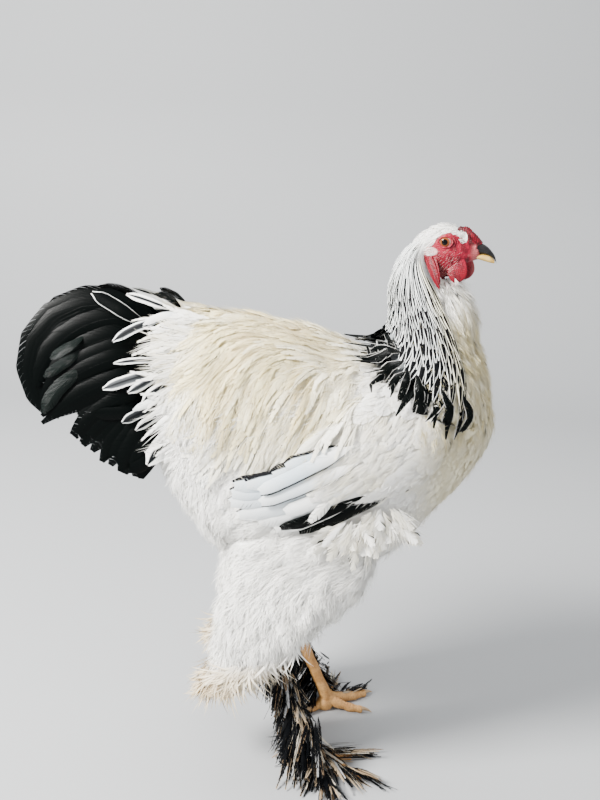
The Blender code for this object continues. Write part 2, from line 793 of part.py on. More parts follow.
def tail_vane(side, start, rise, turn, length, half_width, late, spread, layer, sections):
    """A tail feather leaving start at a rise in degrees and turning down, on one side of the tail's tent."""
    steps = 24
    flat = [np.array(start, float)]
    for i in range(steps):
        heading = math.radians(rise - turn * ((i + 0.5) / steps) ** late)
        flat.append(flat[-1] + length / steps * np.array([-math.cos(heading), math.sin(heading)]))
    path, normals, wide = [], [], []
    for j in range(sections + 1):
        s = 1 - (1 - j / sections) ** 1.2
        x, z = flat[round(s * steps)]
        below = max(TAIL_RIDGE_Z - z, 0.0)
        out = 0.005 + layer + spread * TAIL_SPREAD * (1 - math.exp(-below / TAIL_FALL))
        path.append(np.array([x, side * out * (0.35 + 0.65 * min(s * 3.5, 1)), z]))
        slope = spread * TAIL_SPREAD / TAIL_FALL * math.exp(-below / TAIL_FALL)
        normals.append(np.array([0.10, side, slope]))
        wide.append(half_width * math.sin(math.pi * min(0.18 + 0.60 * s, 1)) ** 0.7)
    return vane(path, normals, wide, 0.0012)


def tail_vanes():
    """Main feathers inmost, then arched sickles, the fan below them and the coverts round the root."""
    pieces = []
    for side in SIDES.values():
        for k in range(2):
            rise = 20 - 24 * k
            pieces.append(tail_vane(side, (-0.200, 0.552 - 0.030 * k), rise, 14, 0.124, 0.0150, 1.0, 0.45, 0.0, 3))
        for k in range(4):
            s = k / 3
            start = (-0.196 - 0.004 * s, 0.572 - 0.054 * s)
            length = 0.308 - 0.144 * s
            turn = 174 - 114 * s
            layer = 0.0018 * (k + 1)
            pieces.append(tail_vane(side, start, 32 - 32 * s, turn, length, 0.0155, 1.1, 0.62 + 0.07 * k, layer, 5 - k // 2))
        for k in range(4):
            s = k / 3
            start = (-0.200 + 0.004 * s, 0.508 - 0.048 * s)
            layer = 0.0105 + 0.0016 * (k % 2)
            pieces.append(tail_vane(side, start, -12 - 58 * s, 32 - 20 * s, 0.138 - 0.046 * s, 0.0160, 1.0, 0.90, layer, 3))
        for k in range(4):
            s = k / 3
            layer = 0.0145 + 0.0016 * (k % 2)
            start = (-0.196, 0.552 - 0.090 * s)
            pieces.append(tail_vane(side, start, 12 - 68 * s, 18, 0.060 - 0.004 * s, 0.0140, 1.0, 0.90, layer, 2))
    return pieces


# Legs and feet

def thigh_core(side):
    around, rows = 12, 8
    rings = []
    for j in range(rows + 1):
        ring = []
        for k in range(around):
            p = sheet_point(THIGH, j / rows, 2 * math.pi * k / around)
            ring.append(np.array([p[0], side * max(STANCE + p[1], 0.0022), p[2]]))
        rings.append(ring)
    return closed_loft(rings)


def thigh_locks(side):
    """Soft locks round the hem of the thigh, longest behind the hock."""
    pieces = []
    for tier, (start, reach, count) in enumerate(((0.58, 0.26, 4), (0.74, 0.28, 6))):
        for k in range(count):
            angle = 2 * math.pi * (k + 0.5 * tier) / count
            inward = max(0.0, -math.sin(angle))
            behind = max(0.0, -math.cos(angle))
            path, normals = [], []
            for s in (0.0, 0.55, 1.0):
                along = start + reach * s
                flare = np.array([math.cos(angle), math.sin(angle) * (1 - 0.8 * inward), 0.0])
                over = max(along - 0.86, 0)
                p = sheet_point(THIGH, min(along, 0.90), angle) + flare * (shingled(s, 0.005, 0.0015, 0.0040) + 0.02 * over)
                drop = 0.13 * over + 0.006 * s * behind
                path.append(np.array([p[0] - 0.018 * behind * s, side * max(STANCE + p[1], 0.0034), p[2] - drop]))
                normals.append(flare * np.array([1, side, 1]) + np.array([0, 0, 0.15]))
            pieces.append(vane(path, normals, [0.0105, 0.0160, 0], 0.0016))
    return pieces


def shank_core(hock, ankle):
    path = [hock + (ankle - hock) * s for s in (0, 0.3, 0.6, 0.85, 1.04)]
    return tube(path, [0.0100, 0.0082, SHANK_RADIUS * 0.96, SHANK_RADIUS, 0.0090], 9)


def shank_vanes(side, hock, ankle):
    """Stiff feathers down the outer side of the shank, hanging close and flaring low down."""
    pieces = []
    rows = ((0.30, 3, 0.062, 16), (0.55, 3, 0.066, 34), (0.84, 4, 0.058, 60))
    for number, (place, count, length, flare) in enumerate(rows):
        for k in range(count):
            turn = math.radians(-60 + 190 * (k + 0.25 + 0.5 * (number % 2)) / count)
            out = unit(np.array([-math.sin(turn) * 1.1 + 0.10, side * math.cos(turn), 0.0]))
            place_now = hock + (ankle - hock) * place + out * 0.003
            path, normals = [], []
            for s, step in ((0.0, 0.0), (0.30, 0.30), (0.68, 0.38), (1.0, 0.32)):
                lean = math.radians(flare) * (0.4 + 0.6 * s) + (0.35 if s < 0.31 else 0)
                heading = unit(np.array([0.40, 0, -1.0]) * math.cos(lean) + out * math.sin(lean))
                place_now = place_now + heading * length * step
                here = place_now.copy()
                here[2] = max(here[2], 0.0014 + 0.0012 * (k % 3))
                path.append(here)
                normals.append(out + np.array([0, 0, math.sin(lean)]))
            pieces.append(vane(path, normals, [0.0045, 0.0095, 0.0080, 0], 0.0011))
    return pieces


def toe_line(side, ankle, turn, length, radius, count):
    """Centre line of a toe from the ankle to the root of its claw, arched and then along the floor."""
    way = np.array([math.cos(side * turn), math.sin(side * turn), 0.0])
    line = []
    for j in range(count):
        s = j / (count - 1)
        height = 0.0150 * (1 - s) ** 2.6 + 0.80 * radius * (1 - 0.30 * s)
        line.append(ankle * np.array([1, 1, 0]) + way * length * s + UP * height)
    return line, way


def foot_core(side, ankle, turn):
    """Toes joined at the ball of the foot, each with flat pads below and raised scutes above."""
    pieces = []
    for heading, length, radius in TOES.values():
        count = 7 if length > 0.03 else 4
        line, _ = toe_line(side, ankle, turn + math.radians(heading), length, radius, count)
        radii = [radius * (1 - 0.30 * j / (count - 1)) * (1 + 0.07 * (j % 2)) for j in range(count)]
        pieces.append(tube(line + [line[-1] + (line[-1] - line[-2]) * 0.35], radii + [0], 6, flat_floor=True))
    ball = ellipsoid(ankle * np.array([1, 1, 0]) + UP * 0.0085, (0.0120, 0.0115, 0.0120), 8, 5)
    ball[0][:, 2] = np.maximum(ball[0][:, 2], 0.0)
    return pieces + [ball]


def foot_vanes(side, ankle, turn):
    """Stiff feathers fanned from the middle and outer toes, low over the floor."""
    pieces = []
    sprays = [("middle", 0.30, 3, 0.054), ("outer", 0.15, 3, 0.050)]
    if side < 0:
        sprays.append(("inner", 0.20, 2, 0.050))
    for toe, first, count, reach in sprays:
        heading, length, radius = TOES[toe]
        toe_turn = turn + math.radians(heading)
        line, _ = toe_line(side, ankle, toe_turn, length, radius, 12)
        for k in range(count):
            s = first + (0.86 - first) * k / (count - 1)
            root = line[round(s * 11)]
            spray = side * (toe_turn + math.radians(2 + 56 * (0.9 - s) * (toe != "inner") + draw.uniform(-5, 5)))
            way = np.array([math.cos(spray), math.sin(spray), 0.0])
            path = []
            for t in (0.0, 0.55, 1.0):
                point = root + way * reach * t
                point[2] = max(root[2] + 0.004 + 0.006 * math.sin(math.pi * t) - 0.009 * t + 0.0013 * (k % 2), 0.0016)
                path.append(point)
            pieces.append(vane(path, [UP] * 3, [0.0042, 0.0072, 0], 0.0011))
    return pieces


def claw(side, ankle, turn, length, toe_radius):
    """Curved claw that carries on from the end of a toe."""
    line, way = toe_line(side, ankle, turn, length, toe_radius, 12)
    start = line[-1] - way * 0.002
    path, radii = [], []
    for j in range(4):
        s = j / 3
        radius = 0.0030 * (1 - s**1.3)
        point = start + way * (CLAW_LENGTH + 0.003) * s + UP * (0.0018 * math.sin(math.pi * s) + 0.0010 - 0.0030 * s)
        point[2] = max(point[2], radius + 0.0004)
        path.append(point)
        radii.append(radius)
    return tube(path, radii, 5, flat_floor=True)


# The whole bird

def make_head():
    for name, side in SIDES.items():
        node(f"eye_{name}", [to_head(eye_piece(side))], "eye")
    upper = rounded_loft(UPPER_BEAK, 10, 2.2, None, UPPER_TIP)
    lower = rounded_loft(LOWER_BEAK, 10, 2.0, None, LOWER_TIP)
    node("upper_beak", [to_head(upper)], "dark_horn")
    node("lower_beak", [to_head(lower)], "horn", clear_of=["upper_beak"])
    flesh = [skull(), lid_ring(1), lid_ring(-1), *ear_tuft(1), *ear_tuft(-1)]
    nostrils = [to_head(nostril(1)), to_head(nostril(-1))]
    near = ["eye_left", "eye_right", "upper_beak", "lower_beak"]
    node("head", [to_head(p) for p in flesh], "red_skin", clear_of=near, cuts=nostrils)
    node("comb", [to_head(p) for p in comb_pieces()], "red_skin", clear_of=["head", "upper_beak"])
    for name, side in SIDES.items():
        ahead = 0.0015 * side
        wattle = flap(
            (0.022 + ahead, side * 0.009, -0.015), (0.013 + ahead, side * 0.014, -0.0455), 0.0120, 0.0024, side, 0.0, 0.55
        )
        node(f"wattle_{name}", [to_head(wattle)], "red_skin", clear_of=["head", "lower_beak", "upper_beak"])
        lobe = flap((-0.020, side * 0.0168, -0.012), (0.001, side * 0.0280, -0.0500), 0.0060, 0.0019, side, 0.0018, 0.45)
        node(f"earlobe_{name}", [to_head(lobe)], "red_skin", clear_of=["head", f"wattle_{name}"])


def make_body():
    node("torso", [torso_core(), *saddle_vanes(), *breast_locks()], "plumage")
    for name, side in SIDES.items():
        node(f"primaries_{name}", primary_vanes(side), "black_feather", clear_of=["torso"])
        wing = [wing_core(side), *wing_vanes(side)]
        node(f"wing_{name}", wing, "wing", clear_of=["torso", f"primaries_{name}"])
    wings = ["wing_left", "wing_right"]
    head_nodes = ["head", "comb", "eye_left", "eye_right", "wattle_left", "wattle_right", "earlobe_left", "earlobe_right"]
    core = tube_rows(HACKLE_SHEET, 16, 7, 0.02, 0.72, NECK_INSET)
    hackle = collar_vanes(HACKLE_TIERS, 0.0088, 0.008, 0.0006, 0.0052)
    node("neck", [core, to_head(crown()), *hackle], "hackle", clear_of=["torso", *wings, *head_nodes])
    feathers = collar_vanes(CAPE_TIERS, 0.0105, 0.0034, -0.0010, 0.0014, over_back=0)
    for name, side in SIDES.items():
        other_side = box_piece((-0.1, -side * 0.25, 0.3), (0.4, -side * 0.0008, 0.8))
        cape = [cape_slab(side), *feathers]
        node(f"cape_{name}", cape, "black_feather", clear_of=["torso", *wings, "neck"], cuts=[other_side])
    root = ellipsoid(TAIL_ROOT, TAIL_ROOT_RADII, 12, 9)
    node("tail", [root, *tail_vanes()], "black_feather", clear_of=["torso", *wings])


def make_legs():
    for name, side in SIDES.items():
        hock, ankle, turn = LEGS[name]
        near = ["torso", f"wing_{name}", f"primaries_{name}"]
        node(f"thigh_{name}", [thigh_core(side), *thigh_locks(side)], "plumage", clear_of=near)
        shank = [shank_core(hock, ankle), *shank_vanes(side, hock, ankle)]
        node(f"shank_{name}", shank, "leg_feather", clear_of=[f"thigh_{name}"])
        foot = foot_core(side, ankle, turn) + foot_vanes(side, ankle, turn)
        node(f"foot_{name}", foot, "scale", clear_of=[f"shank_{name}"])
        for toe, (heading, length, radius) in TOES.items():
            piece = claw(side, ankle, turn + math.radians(heading), length, radius)
            node(f"claw_{toe}_{name}", [piece], "horn", clear_of=[f"foot_{name}", f"shank_{name}"])


def main():
    for obj in list(bpy.data.objects):
        bpy.data.objects.remove(obj)
    make_head()
    make_body()
    make_legs()


main()
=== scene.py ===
import math

import bmesh
import bpy
import numpy as np
from mathutils import Matrix, Vector
from mathutils.bvhtree import BVHTree


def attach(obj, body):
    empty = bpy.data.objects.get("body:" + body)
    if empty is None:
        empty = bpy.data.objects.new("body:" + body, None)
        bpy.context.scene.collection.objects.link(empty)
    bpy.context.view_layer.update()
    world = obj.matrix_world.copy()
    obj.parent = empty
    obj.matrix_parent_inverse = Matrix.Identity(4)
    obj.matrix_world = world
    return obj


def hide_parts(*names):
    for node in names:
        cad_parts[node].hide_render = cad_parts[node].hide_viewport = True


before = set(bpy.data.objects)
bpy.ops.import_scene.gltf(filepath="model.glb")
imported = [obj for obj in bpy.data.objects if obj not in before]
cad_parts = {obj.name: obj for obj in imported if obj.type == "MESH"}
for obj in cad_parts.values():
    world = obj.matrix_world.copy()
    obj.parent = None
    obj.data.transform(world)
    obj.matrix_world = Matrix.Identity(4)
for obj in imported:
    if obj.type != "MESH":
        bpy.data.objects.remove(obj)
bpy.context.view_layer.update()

# The bird is described from the point on the floor midway between its feet, as the solids are.
SHIFT = np.array([0.0850, -0.0050, 0.0])
SIDES = {"left": 1, "right": -1}
UP = np.array([0.0, 0.0, 1.0])
rng = np.random.default_rng(11)

# Plumage of the torso: x, top, bottom, half width.
TORSO = np.array([
    (-0.200, 0.470, 0.470, 0.000),
    (-0.190, 0.548, 0.385, 0.054),
    (-0.162, 0.574, 0.325, 0.088),
    (-0.115, 0.578, 0.283, 0.110),
    (-0.050, 0.571, 0.262, 0.122),
    (0.020, 0.551, 0.258, 0.125),
    (0.085, 0.536, 0.288, 0.119),
    (0.140, 0.526, 0.346, 0.102),
    (0.176, 0.512, 0.388, 0.076),
    (0.199, 0.488, 0.420, 0.043),
    (0.208, 0.448, 0.448, 0.000),
])
TORSO_ROUNDNESS = 2.3
# Sheet of the hackle: centre x, centre z, fore-and-aft radius, side radius, forward tilt in degrees.
HACKLE_SHEET = np.array([
    (0.113, 0.684, 0.017, 0.018, -20.0),
    (0.101, 0.655, 0.018, 0.0235, 0.0),
    (0.1125, 0.617, 0.0395, 0.036, 5.0),
    (0.128, 0.578, 0.054, 0.056, 12.0),
    (0.136, 0.540, 0.068, 0.086, 20.0),
    (0.130, 0.503, 0.084, 0.116, 26.0),
    (0.115, 0.468, 0.095, 0.134, 30.0),
    (0.105, 0.432, 0.108, 0.146, 33.0),
])
HACKLE_FRONT = math.radians(71)
HACKLE_COLUMNS = 27
HACKLE_TIERS = 9
# Tiers of the cape: start along the sheet, feathers, reach along it, half width.
CAPE_TIERS = ((0.44, 30, 0.27, 0.0056), (0.49, 26, 0.30, 0.0066), (0.54, 22, 0.30, 0.0078))
# Black feathers over the shoulder: x and z of the root, x and z of the tip, half width, bow.
SHOULDER_FEATHERS = np.array([
    (0.088, 0.565, 0.030, 0.556, 0.0052, -0.04),
    (0.090, 0.556, 0.034, 0.545, 0.0056, 0.06),
    (0.088, 0.550, 0.038, 0.532, 0.0052, 0.10),
    (0.092, 0.546, 0.052, 0.526, 0.0056, 0.12),
    (0.094, 0.538, 0.052, 0.500, 0.0080, 0.08),
    (0.098, 0.530, 0.070, 0.498, 0.0056, 0.10),
    (0.096, 0.532, 0.096, 0.500, 0.0054, 0.04),
    (0.104, 0.528, 0.120, 0.490, 0.0062, 0.05),
    (0.106, 0.522, 0.151, 0.464, 0.0086, 0.06),
    (0.126, 0.516, 0.158, 0.466, 0.0064, 0.03),
    (0.148, 0.510, 0.160, 0.474, 0.0052, 0.02),
])
# Thigh: centre x, centre z, fore-and-aft radius, side radius, tilt in degrees.
THIGH = np.array([
    (-0.010, 0.345, 0.060, 0.040, 0.0),
    (-0.014, 0.320, 0.090, 0.056, 0.0),
    (-0.022, 0.270, 0.096, 0.062, -6.0),
    (-0.032, 0.225, 0.094, 0.061, -16.0),
    (-0.054, 0.182, 0.084, 0.054, -28.0),
    (-0.077, 0.152, 0.064, 0.043, -34.0),
    (-0.087, 0.138, 0.034, 0.025, -36.0),
])
STANCE = 0.066
# Tufts under the breast: x and z of their middle, spread in x and z, count, fan in degrees, length.
BREAST_TUFTS = (
    (0.074, 0.369, 0.014, 0.007, 64, (-28, -118), 0.042),
    (0.040, 0.353, 0.016, 0.006, 44, (-62, -138), 0.040),
)
# Leg: hock, ankle and the foot's turn outwards.
LEGS = {
    "left": (np.array([-0.040, 0.068, 0.168]), np.array([0.026, 0.071, 0.0215]), math.radians(33)),
    "right": (np.array([-0.046, -0.064, 0.168]), np.array([0.008, -0.063, 0.0215]), math.radians(26)),
}
# Toe: turn from the middle one in degrees, length, radius.
TOES = {
    "middle": (0, 0.068, 0.0078),
    "outer": (42, 0.052, 0.0070),
    "inner": (-40, 0.052, 0.0070),
    "hind": (178, 0.024, 0.0060),
}
# Feathers of the foot: those that fan from the ankle, then toe, first place on it, count, length.
FOOT_FANS = {"left": 40, "right": 80}
FOOT_SPRAYS = {
    "left": (("middle", 0.06, 26, 0.044), ("outer", 0.02, 32, 0.048)),
    "right": (("middle", 0.06, 46, 0.058), ("outer", 0.02, 50, 0.054), ("inner", 0.05, 30, 0.050)),
}
HEAD_PLACE = np.array([0.134, 0.0, 0.674])
HEAD_YAW = math.radians(-13)
HEAD_TURN = np.array([
    (math.cos(HEAD_YAW), math.sin(HEAD_YAW), 0),
    (-math.sin(HEAD_YAW), math.cos(HEAD_YAW), 0),
    (0, 0, 1),
])
# Skull in the head's own frame: x, top, bottom, half width.
SKULL = np.array([
    (-0.042, -0.013, -0.013, 0.000),
    (-0.036, 0.002, -0.027, 0.0130),
    (-0.025, 0.013, -0.031, 0.0170),
    (-0.012, 0.0200, -0.0375, 0.0188),
    (0.002, 0.0220, -0.0395, 0.0188),
    (0.015, 0.0195, -0.0350, 0.0165),
    (0.027, 0.0120, -0.0215, 0.0128),
    (0.036, 0.0050, -0.0170, 0.0095),
    (0.041, 0.0015, -0.0140, 0.0064),
    (0.0425, -0.0060, -0.006, 0.000),
])
# Beak: x, top, bottom, half width.
UPPER_BEAK = np.array([
    (0.0330, 0.0050, -0.0090, 0.0080), (0.0400, 0.0047, -0.0090, 0.0076),
    (0.0447, 0.0032, -0.0090, 0.0069), (0.0507, -0.0002, -0.0096, 0.0057),
    (0.0562, -0.0055, -0.0118, 0.0042), (0.0601, -0.0110, -0.0152, 0.0025),
    (0.0620, -0.0176, -0.0188, 0.0006),
])
LOWER_BEAK = np.array([
    (0.0300, -0.0082, -0.0150, 0.0068), (0.0400, -0.0084, -0.0152, 0.0066),
    (0.0470, -0.0086, -0.0168, 0.0058), (0.0541, -0.0106, -0.0182, 0.0044),
    (0.0598, -0.0152, -0.0188, 0.0018),
])
EYE_MIDDLE = np.array([0.002, 0.0160, 0.0042])
EYE_RADII = np.array([0.0080, 0.0056, 0.0070])
# Lower edge of the crown's white feathers, and the top of the comb: x, z.
CROWN_EDGE = np.array([
    (-0.044, -0.036), (-0.030, -0.025), (-0.0232, -0.0150), (-0.0220, -0.0080), (-0.0195, -0.0030),
    (-0.0150, 0.0010), (-0.0034, 0.0120), (0.0064, 0.0160), (0.0150, 0.0134), (0.0205, 0.0092),
    (0.0256, 0.0046), (0.0270, 0.0100), (0.0300, 0.0220),
])
COMB_TOP = np.array([
    (0.0150, 0.0222), (0.0212, 0.0232), (0.0257, 0.0218), (0.0303, 0.0190), (0.0357, 0.0143),
    (0.0405, 0.0089), (0.0440, 0.0046),
])
# Rear edge of the comb: z, x.
COMB_REAR = np.array([
    (-0.0020, 0.0330), (0.0014, 0.0298), (0.0070, 0.0279), (0.0140, 0.0251), (0.0187, 0.0211),
    (0.0211, 0.0150),
])
EAR = (-0.0155, -0.0080)
EAR_RADII = (0.0085, 0.0048)
WING_SHOULDER = np.array([0.146, 0.469])
WING_TIP = np.array([-0.104, 0.392])
WING_HALF = 0.066
WING_THICK = 0.011
WING_DOME_END = 0.76
WING_DOME_SHARE = 0.86
WING_AXIS = (WING_TIP - WING_SHOULDER) / np.linalg.norm(WING_TIP - WING_SHOULDER)
WING_UP = np.array([WING_AXIS[1], -WING_AXIS[0]])
WING_LENGTH = float(np.linalg.norm(WING_TIP - WING_SHOULDER))
# Secondaries, the upper layer last: along and across of the tip, dark rim, grey share.
SECONDARIES = np.array([
    (0.88, -0.88, 0.0, 0.10), (0.94, -0.68, 0.14, 0.25), (0.985, -0.46, 0.22, 0.50),
    (1.02, -0.26, 0.16, 0.70), (1.03, -0.10, 0.30, 0.85), (1.00, 0.04, 0.42, 0.95),
    (0.93, 0.16, 0.50, 0.85), (0.84, 0.24, 0.55, 0.80), (0.75, 0.27, 0.34, 0.9),
    (0.80, -0.62, 0.0, 0.20), (0.88, -0.34, -0.18, 0.55), (0.90, -0.08, -0.24, 0.8),
])
LOWER_SECONDARIES = 9
# Every covert of the wing carries a silky strand.
STRANDED_SHARE = 1.0
# Primaries: along and across of the root, along and across of the tip, dark share, half width.
PRIMARIES = np.array([
    (0.27, -0.60, 0.70, -1.00, 6.0, 0.0085), (0.32, -0.62, 0.775, -1.02, 6.0, 0.0085),
    (0.44, -0.60, 0.80, -0.93, 0.85, 0.0070), (0.52, -0.66, 0.845, -0.88, 6.0, 0.0060),
])
TAIL_RIDGE_Z = 0.602
TAIL_SPREAD = 0.056
TAIL_FALL = 0.085
# Coverts of the tail: x and z of the tip, x and z of the root, half width, dark share.
TAIL_COVERTS = np.array([
    (-0.287, 0.600, -0.216, 0.563, 0.0085, 0.955),
    (-0.210, 0.601, -0.177, 0.585, 0.0050, 6.0),
    (-0.245, 0.599, -0.188, 0.583, 0.0050, 0.35),
    (-0.257, 0.544, -0.195, 0.573, 0.0058, 0.62),
    (-0.222, 0.564, -0.170, 0.577, 0.0045, 0.0),
    (-0.278, 0.459, -0.205, 0.468, 0.0080, 6.0),
    (-0.233, 0.389, -0.187, 0.424, 0.0085, 6.0),
    (-0.255, 0.520, -0.190, 0.526, 0.0038, 0.45),
    (-0.267, 0.489, -0.196, 0.514, 0.0068, 0.66),
    (-0.242, 0.450, -0.196, 0.476, 0.0064, 0.76),
    (-0.236, 0.486, -0.190, 0.518, 0.0058, 0.55),
    (-0.225, 0.441, -0.176, 0.469, 0.0062, 0.50),
    (-0.218, 0.475, -0.172, 0.504, 0.0060, 0.42),
    (-0.229, 0.466, -0.182, 0.489, 0.0048, 0.0),
    (-0.172, 0.401, -0.152, 0.432, 0.0060, 6.0),
    (-0.210, 0.399, -0.170, 0.446, 0.0105, 0.40),
    (-0.189, 0.403, -0.158, 0.444, 0.0065, 0.0),
    (-0.205, 0.535, -0.168, 0.549, 0.0042, 0.0),
])
# Glossier feathers among the black ones of the tail, whose lighter green colour is painted sheen, in the same
# order.
TAIL_SHEEN_PAINTED = np.array([
    (-0.337, 0.453, -0.280, 0.514, 0.0095, 6.0),
    (-0.337, 0.498, -0.289, 0.532, 0.0068, 6.0),
    (-0.330, 0.521, -0.292, 0.547, 0.0062, 6.0),
])

WHITE = np.array([0.90, 0.887, 0.845])
CREAM = np.array([0.74, 0.65, 0.37])
STRAW = np.array([0.76, 0.61, 0.36])
STAIN = np.array([0.50, 0.37, 0.19])
SMOKE = np.array([0.50, 0.61, 0.69])
BLACK = np.array([0.010, 0.012, 0.013])
RED = np.array([0.25, 0.004, 0.021])
BRIGHT_RED = np.array([0.175, 0.0001, 0.009])
DEEP_RED = np.array([0.035, 0.0005, 0.002])
PINK = np.array([0.46, 0.13, 0.12])
LEG_TONES = np.array([(0.42, 0.38, 0.31), (0.38, 0.29, 0.19), (0.22, 0.15, 0.09), (0.30, 0.30, 0.30)])
# Share of a feather's half width that leaves no base colour showing.
ALL_DARK = 6.0


# Curves and surfaces, on arrays

def unit(v):
    return v / np.maximum(np.linalg.norm(v, axis=-1, keepdims=True), 1e-12)


def vec(*parts):
    """Vectors from their parts, each a number or an array."""
    return np.stack(np.broadcast_arrays(*parts), -1)


def strayed(v, amount):
    """Directions turned at random, each feather as a whole."""
    return unit(v + rng.normal(size=(len(v),) + (1,) * (v.ndim - 2) + (3,)) * amount)


def between(ends, share):
    return ends[0] + (ends[1] - ends[0]) * share


def smooth(low, high, x):
    """0 below low, 1 above high, smooth between."""
    t = np.clip((x - low) / (high - low), 0, 1)
    return t * t * (3 - 2 * t)


def mix(a, b, share):
    share = np.asarray(share)[..., None]
    return a * (1 - share) + b * share


def circle(count):
    return np.linspace(0, 2 * math.pi, count, endpoint=False)


def rows_at(rows, at):
    """Rows read as a smooth curve at places from 0 to 1."""
    last = len(rows) - 1
    place = np.clip(np.asarray(at, float), 0, 1) * last
    i = np.minimum(place.astype(int), last - 1)
    t = (place - i)[..., None]
    before, a, b, after = rows[np.maximum(i - 1, 0)], rows[i], rows[i + 1], rows[np.minimum(i + 2, last)]
    slope_a, slope_b = (b - before) / 2, (after - a) / 2
    return (
        (2 * t**3 - 3 * t**2 + 1) * a
        + (t**3 - 2 * t**2 + t) * slope_a
        + (-2 * t**3 + 3 * t**2) * b
        + (t**3 - t**2) * slope_b
    )


PLACES = np.linspace(0, 1, 600)
TORSO_X = rows_at(TORSO, PLACES)[:, 0]


def superellipse(angle, power):
    c, s = np.cos(angle), np.sin(angle)
    return np.sign(c) * np.abs(c) ** (2 / power), np.sign(s) * np.abs(s) ** (2 / power)


def middle_and_halves(rows):
    """Middle height, half height and half width from rows of x, top, bottom, half width."""
    return (rows[..., 1] + rows[..., 2]) / 2, (rows[..., 1] - rows[..., 2]) / 2, rows[..., 3]


def torso_ring(x):
    return middle_and_halves(rows_at(TORSO, np.interp(x, TORSO_X, PLACES)))


def torso_point(x, angle, inset=0.0):
    """Point of the torso's plumage; the angle goes from +Y up over the back."""
    middle, tall, half = torso_ring(x)
    side, height = superellipse(angle, TORSO_ROUNDNESS)
    return vec(x, np.maximum(half - inset, 0.0) * side, middle + np.maximum(tall - inset, 0.0) * height)


def roundness(share):
    """Half size of the torso's ring at a share of its other half size."""
    return (1 - share**TORSO_ROUNDNESS) ** (1 / TORSO_ROUNDNESS)


def torso_side(x, z):
    """Half width of the plumage at x and height z."""
    middle, tall, half = torso_ring(x)
    return half * roundness(np.clip(np.abs(z - middle) / np.maximum(tall, 1e-6), 0, 0.88))


def torso_top(x, y):
    """Height of the back's plumage."""
    middle, tall, half = torso_ring(x)
    return middle + tall * roundness(np.clip(np.abs(y) / np.maximum(half, 1e-6), 0, 0.97))


def tube_point(rows, along, angle, inset=0.0):
    """Point on a tube of rows; the angle goes from the front, over +Y, to the back."""
    r = rows_at(rows, along)
    tilt = np.radians(r[..., 4])
    forward = np.cos(angle) * (r[..., 2] - inset)
    return vec(
        r[..., 0] + forward * np.cos(tilt),
        np.sin(angle) * (r[..., 3] - inset),
        r[..., 1] - forward * np.sin(tilt),
    )


def tube_normal(rows, along, angle):
    ahead = tube_point(rows, along + 0.02, angle) - tube_point(rows, along - 0.02, angle)
    beside = tube_point(rows, along, angle + 0.03) - tube_point(rows, along, angle - 0.03)
    return unit(np.cross(ahead, beside))


def thigh_point(along, angle, inset, side):
    """Point on the plumage of one thigh, which ends at the bird's middle."""
    x, y, z = np.moveaxis(tube_point(THIGH, along, angle, inset), -1, 0)
    return vec(x, side * np.maximum(STANCE + y, 0.006), z)


def turn_head(v):
    return v @ HEAD_TURN


def to_head(points):
    return turn_head(points) + HEAD_PLACE


def mirrored(point, side):
    return np.asarray(point, float) * np.array([1, side, 1])


def bowed(rows, bow, steps):
    """Flat lines between roots and tips, a pair of x and z each, bowed to one side."""
    root, tip = rows
    t = np.linspace(0, 1, steps)[None, :, None]
    span = (tip - root)[:, None]
    return root[:, None] + span * t + bow[:, None, None] * np.sin(math.pi * t) * span[..., ::-1] * (1, -1)


def wobble(points, scale, seed):
    """Smooth noise from sines, about 0 to 1."""
    draw = np.random.default_rng(seed)
    total = 0
    for octave in range(4):
        way = unit(draw.normal(size=(3, 3)))
        turn = draw.random(3) * 7
        waves = np.sin((points @ way.T) * scale * (1.7**octave) + turn)
        total = total + waves.prod(-1) * 0.6**octave
    return np.clip(0.5 + total * 0.55, 0, 1)


def wavy(way, points, stray, wave, scale, seed):
    """Directions that stray one by one and drift together by place."""
    drift = vec(*(wobble(points, scale, seed + i) * 2 - 1 for i in range(3)))
    return way + rng.normal(size=way.shape) * stray + drift * wave


# Meshes

def grid_faces(rows, around, start=0, caps=True, ring=False):
    """Quads between rings of points, with a fan over each end, or closed in a ring."""
    faces = []
    for j in range(rows if ring else rows - 1):
        a, b = start + j * around, start + (j + 1) % rows * around
        for k in range(around):
            n = (k + 1) % around
            faces.append((a + k, a + n, b + n, b + k))
    if caps and not ring:
        faces.append(tuple(start + k for k in range(around))[::-1])
        faces.append(tuple(start + (rows - 1) * around + k for k in range(around)))
    return faces


def triangulated(faces):
    return np.array([(face[0], face[i], face[i + 1]) for face in faces for i in range(1, len(face) - 1)])


def read(items, key, kind=float):
    """A property of a mesh's items, three numbers each."""
    values = np.zeros(len(items) * 3, kind)
    items.foreach_get(key, values)
    return values.reshape(-1, 3)


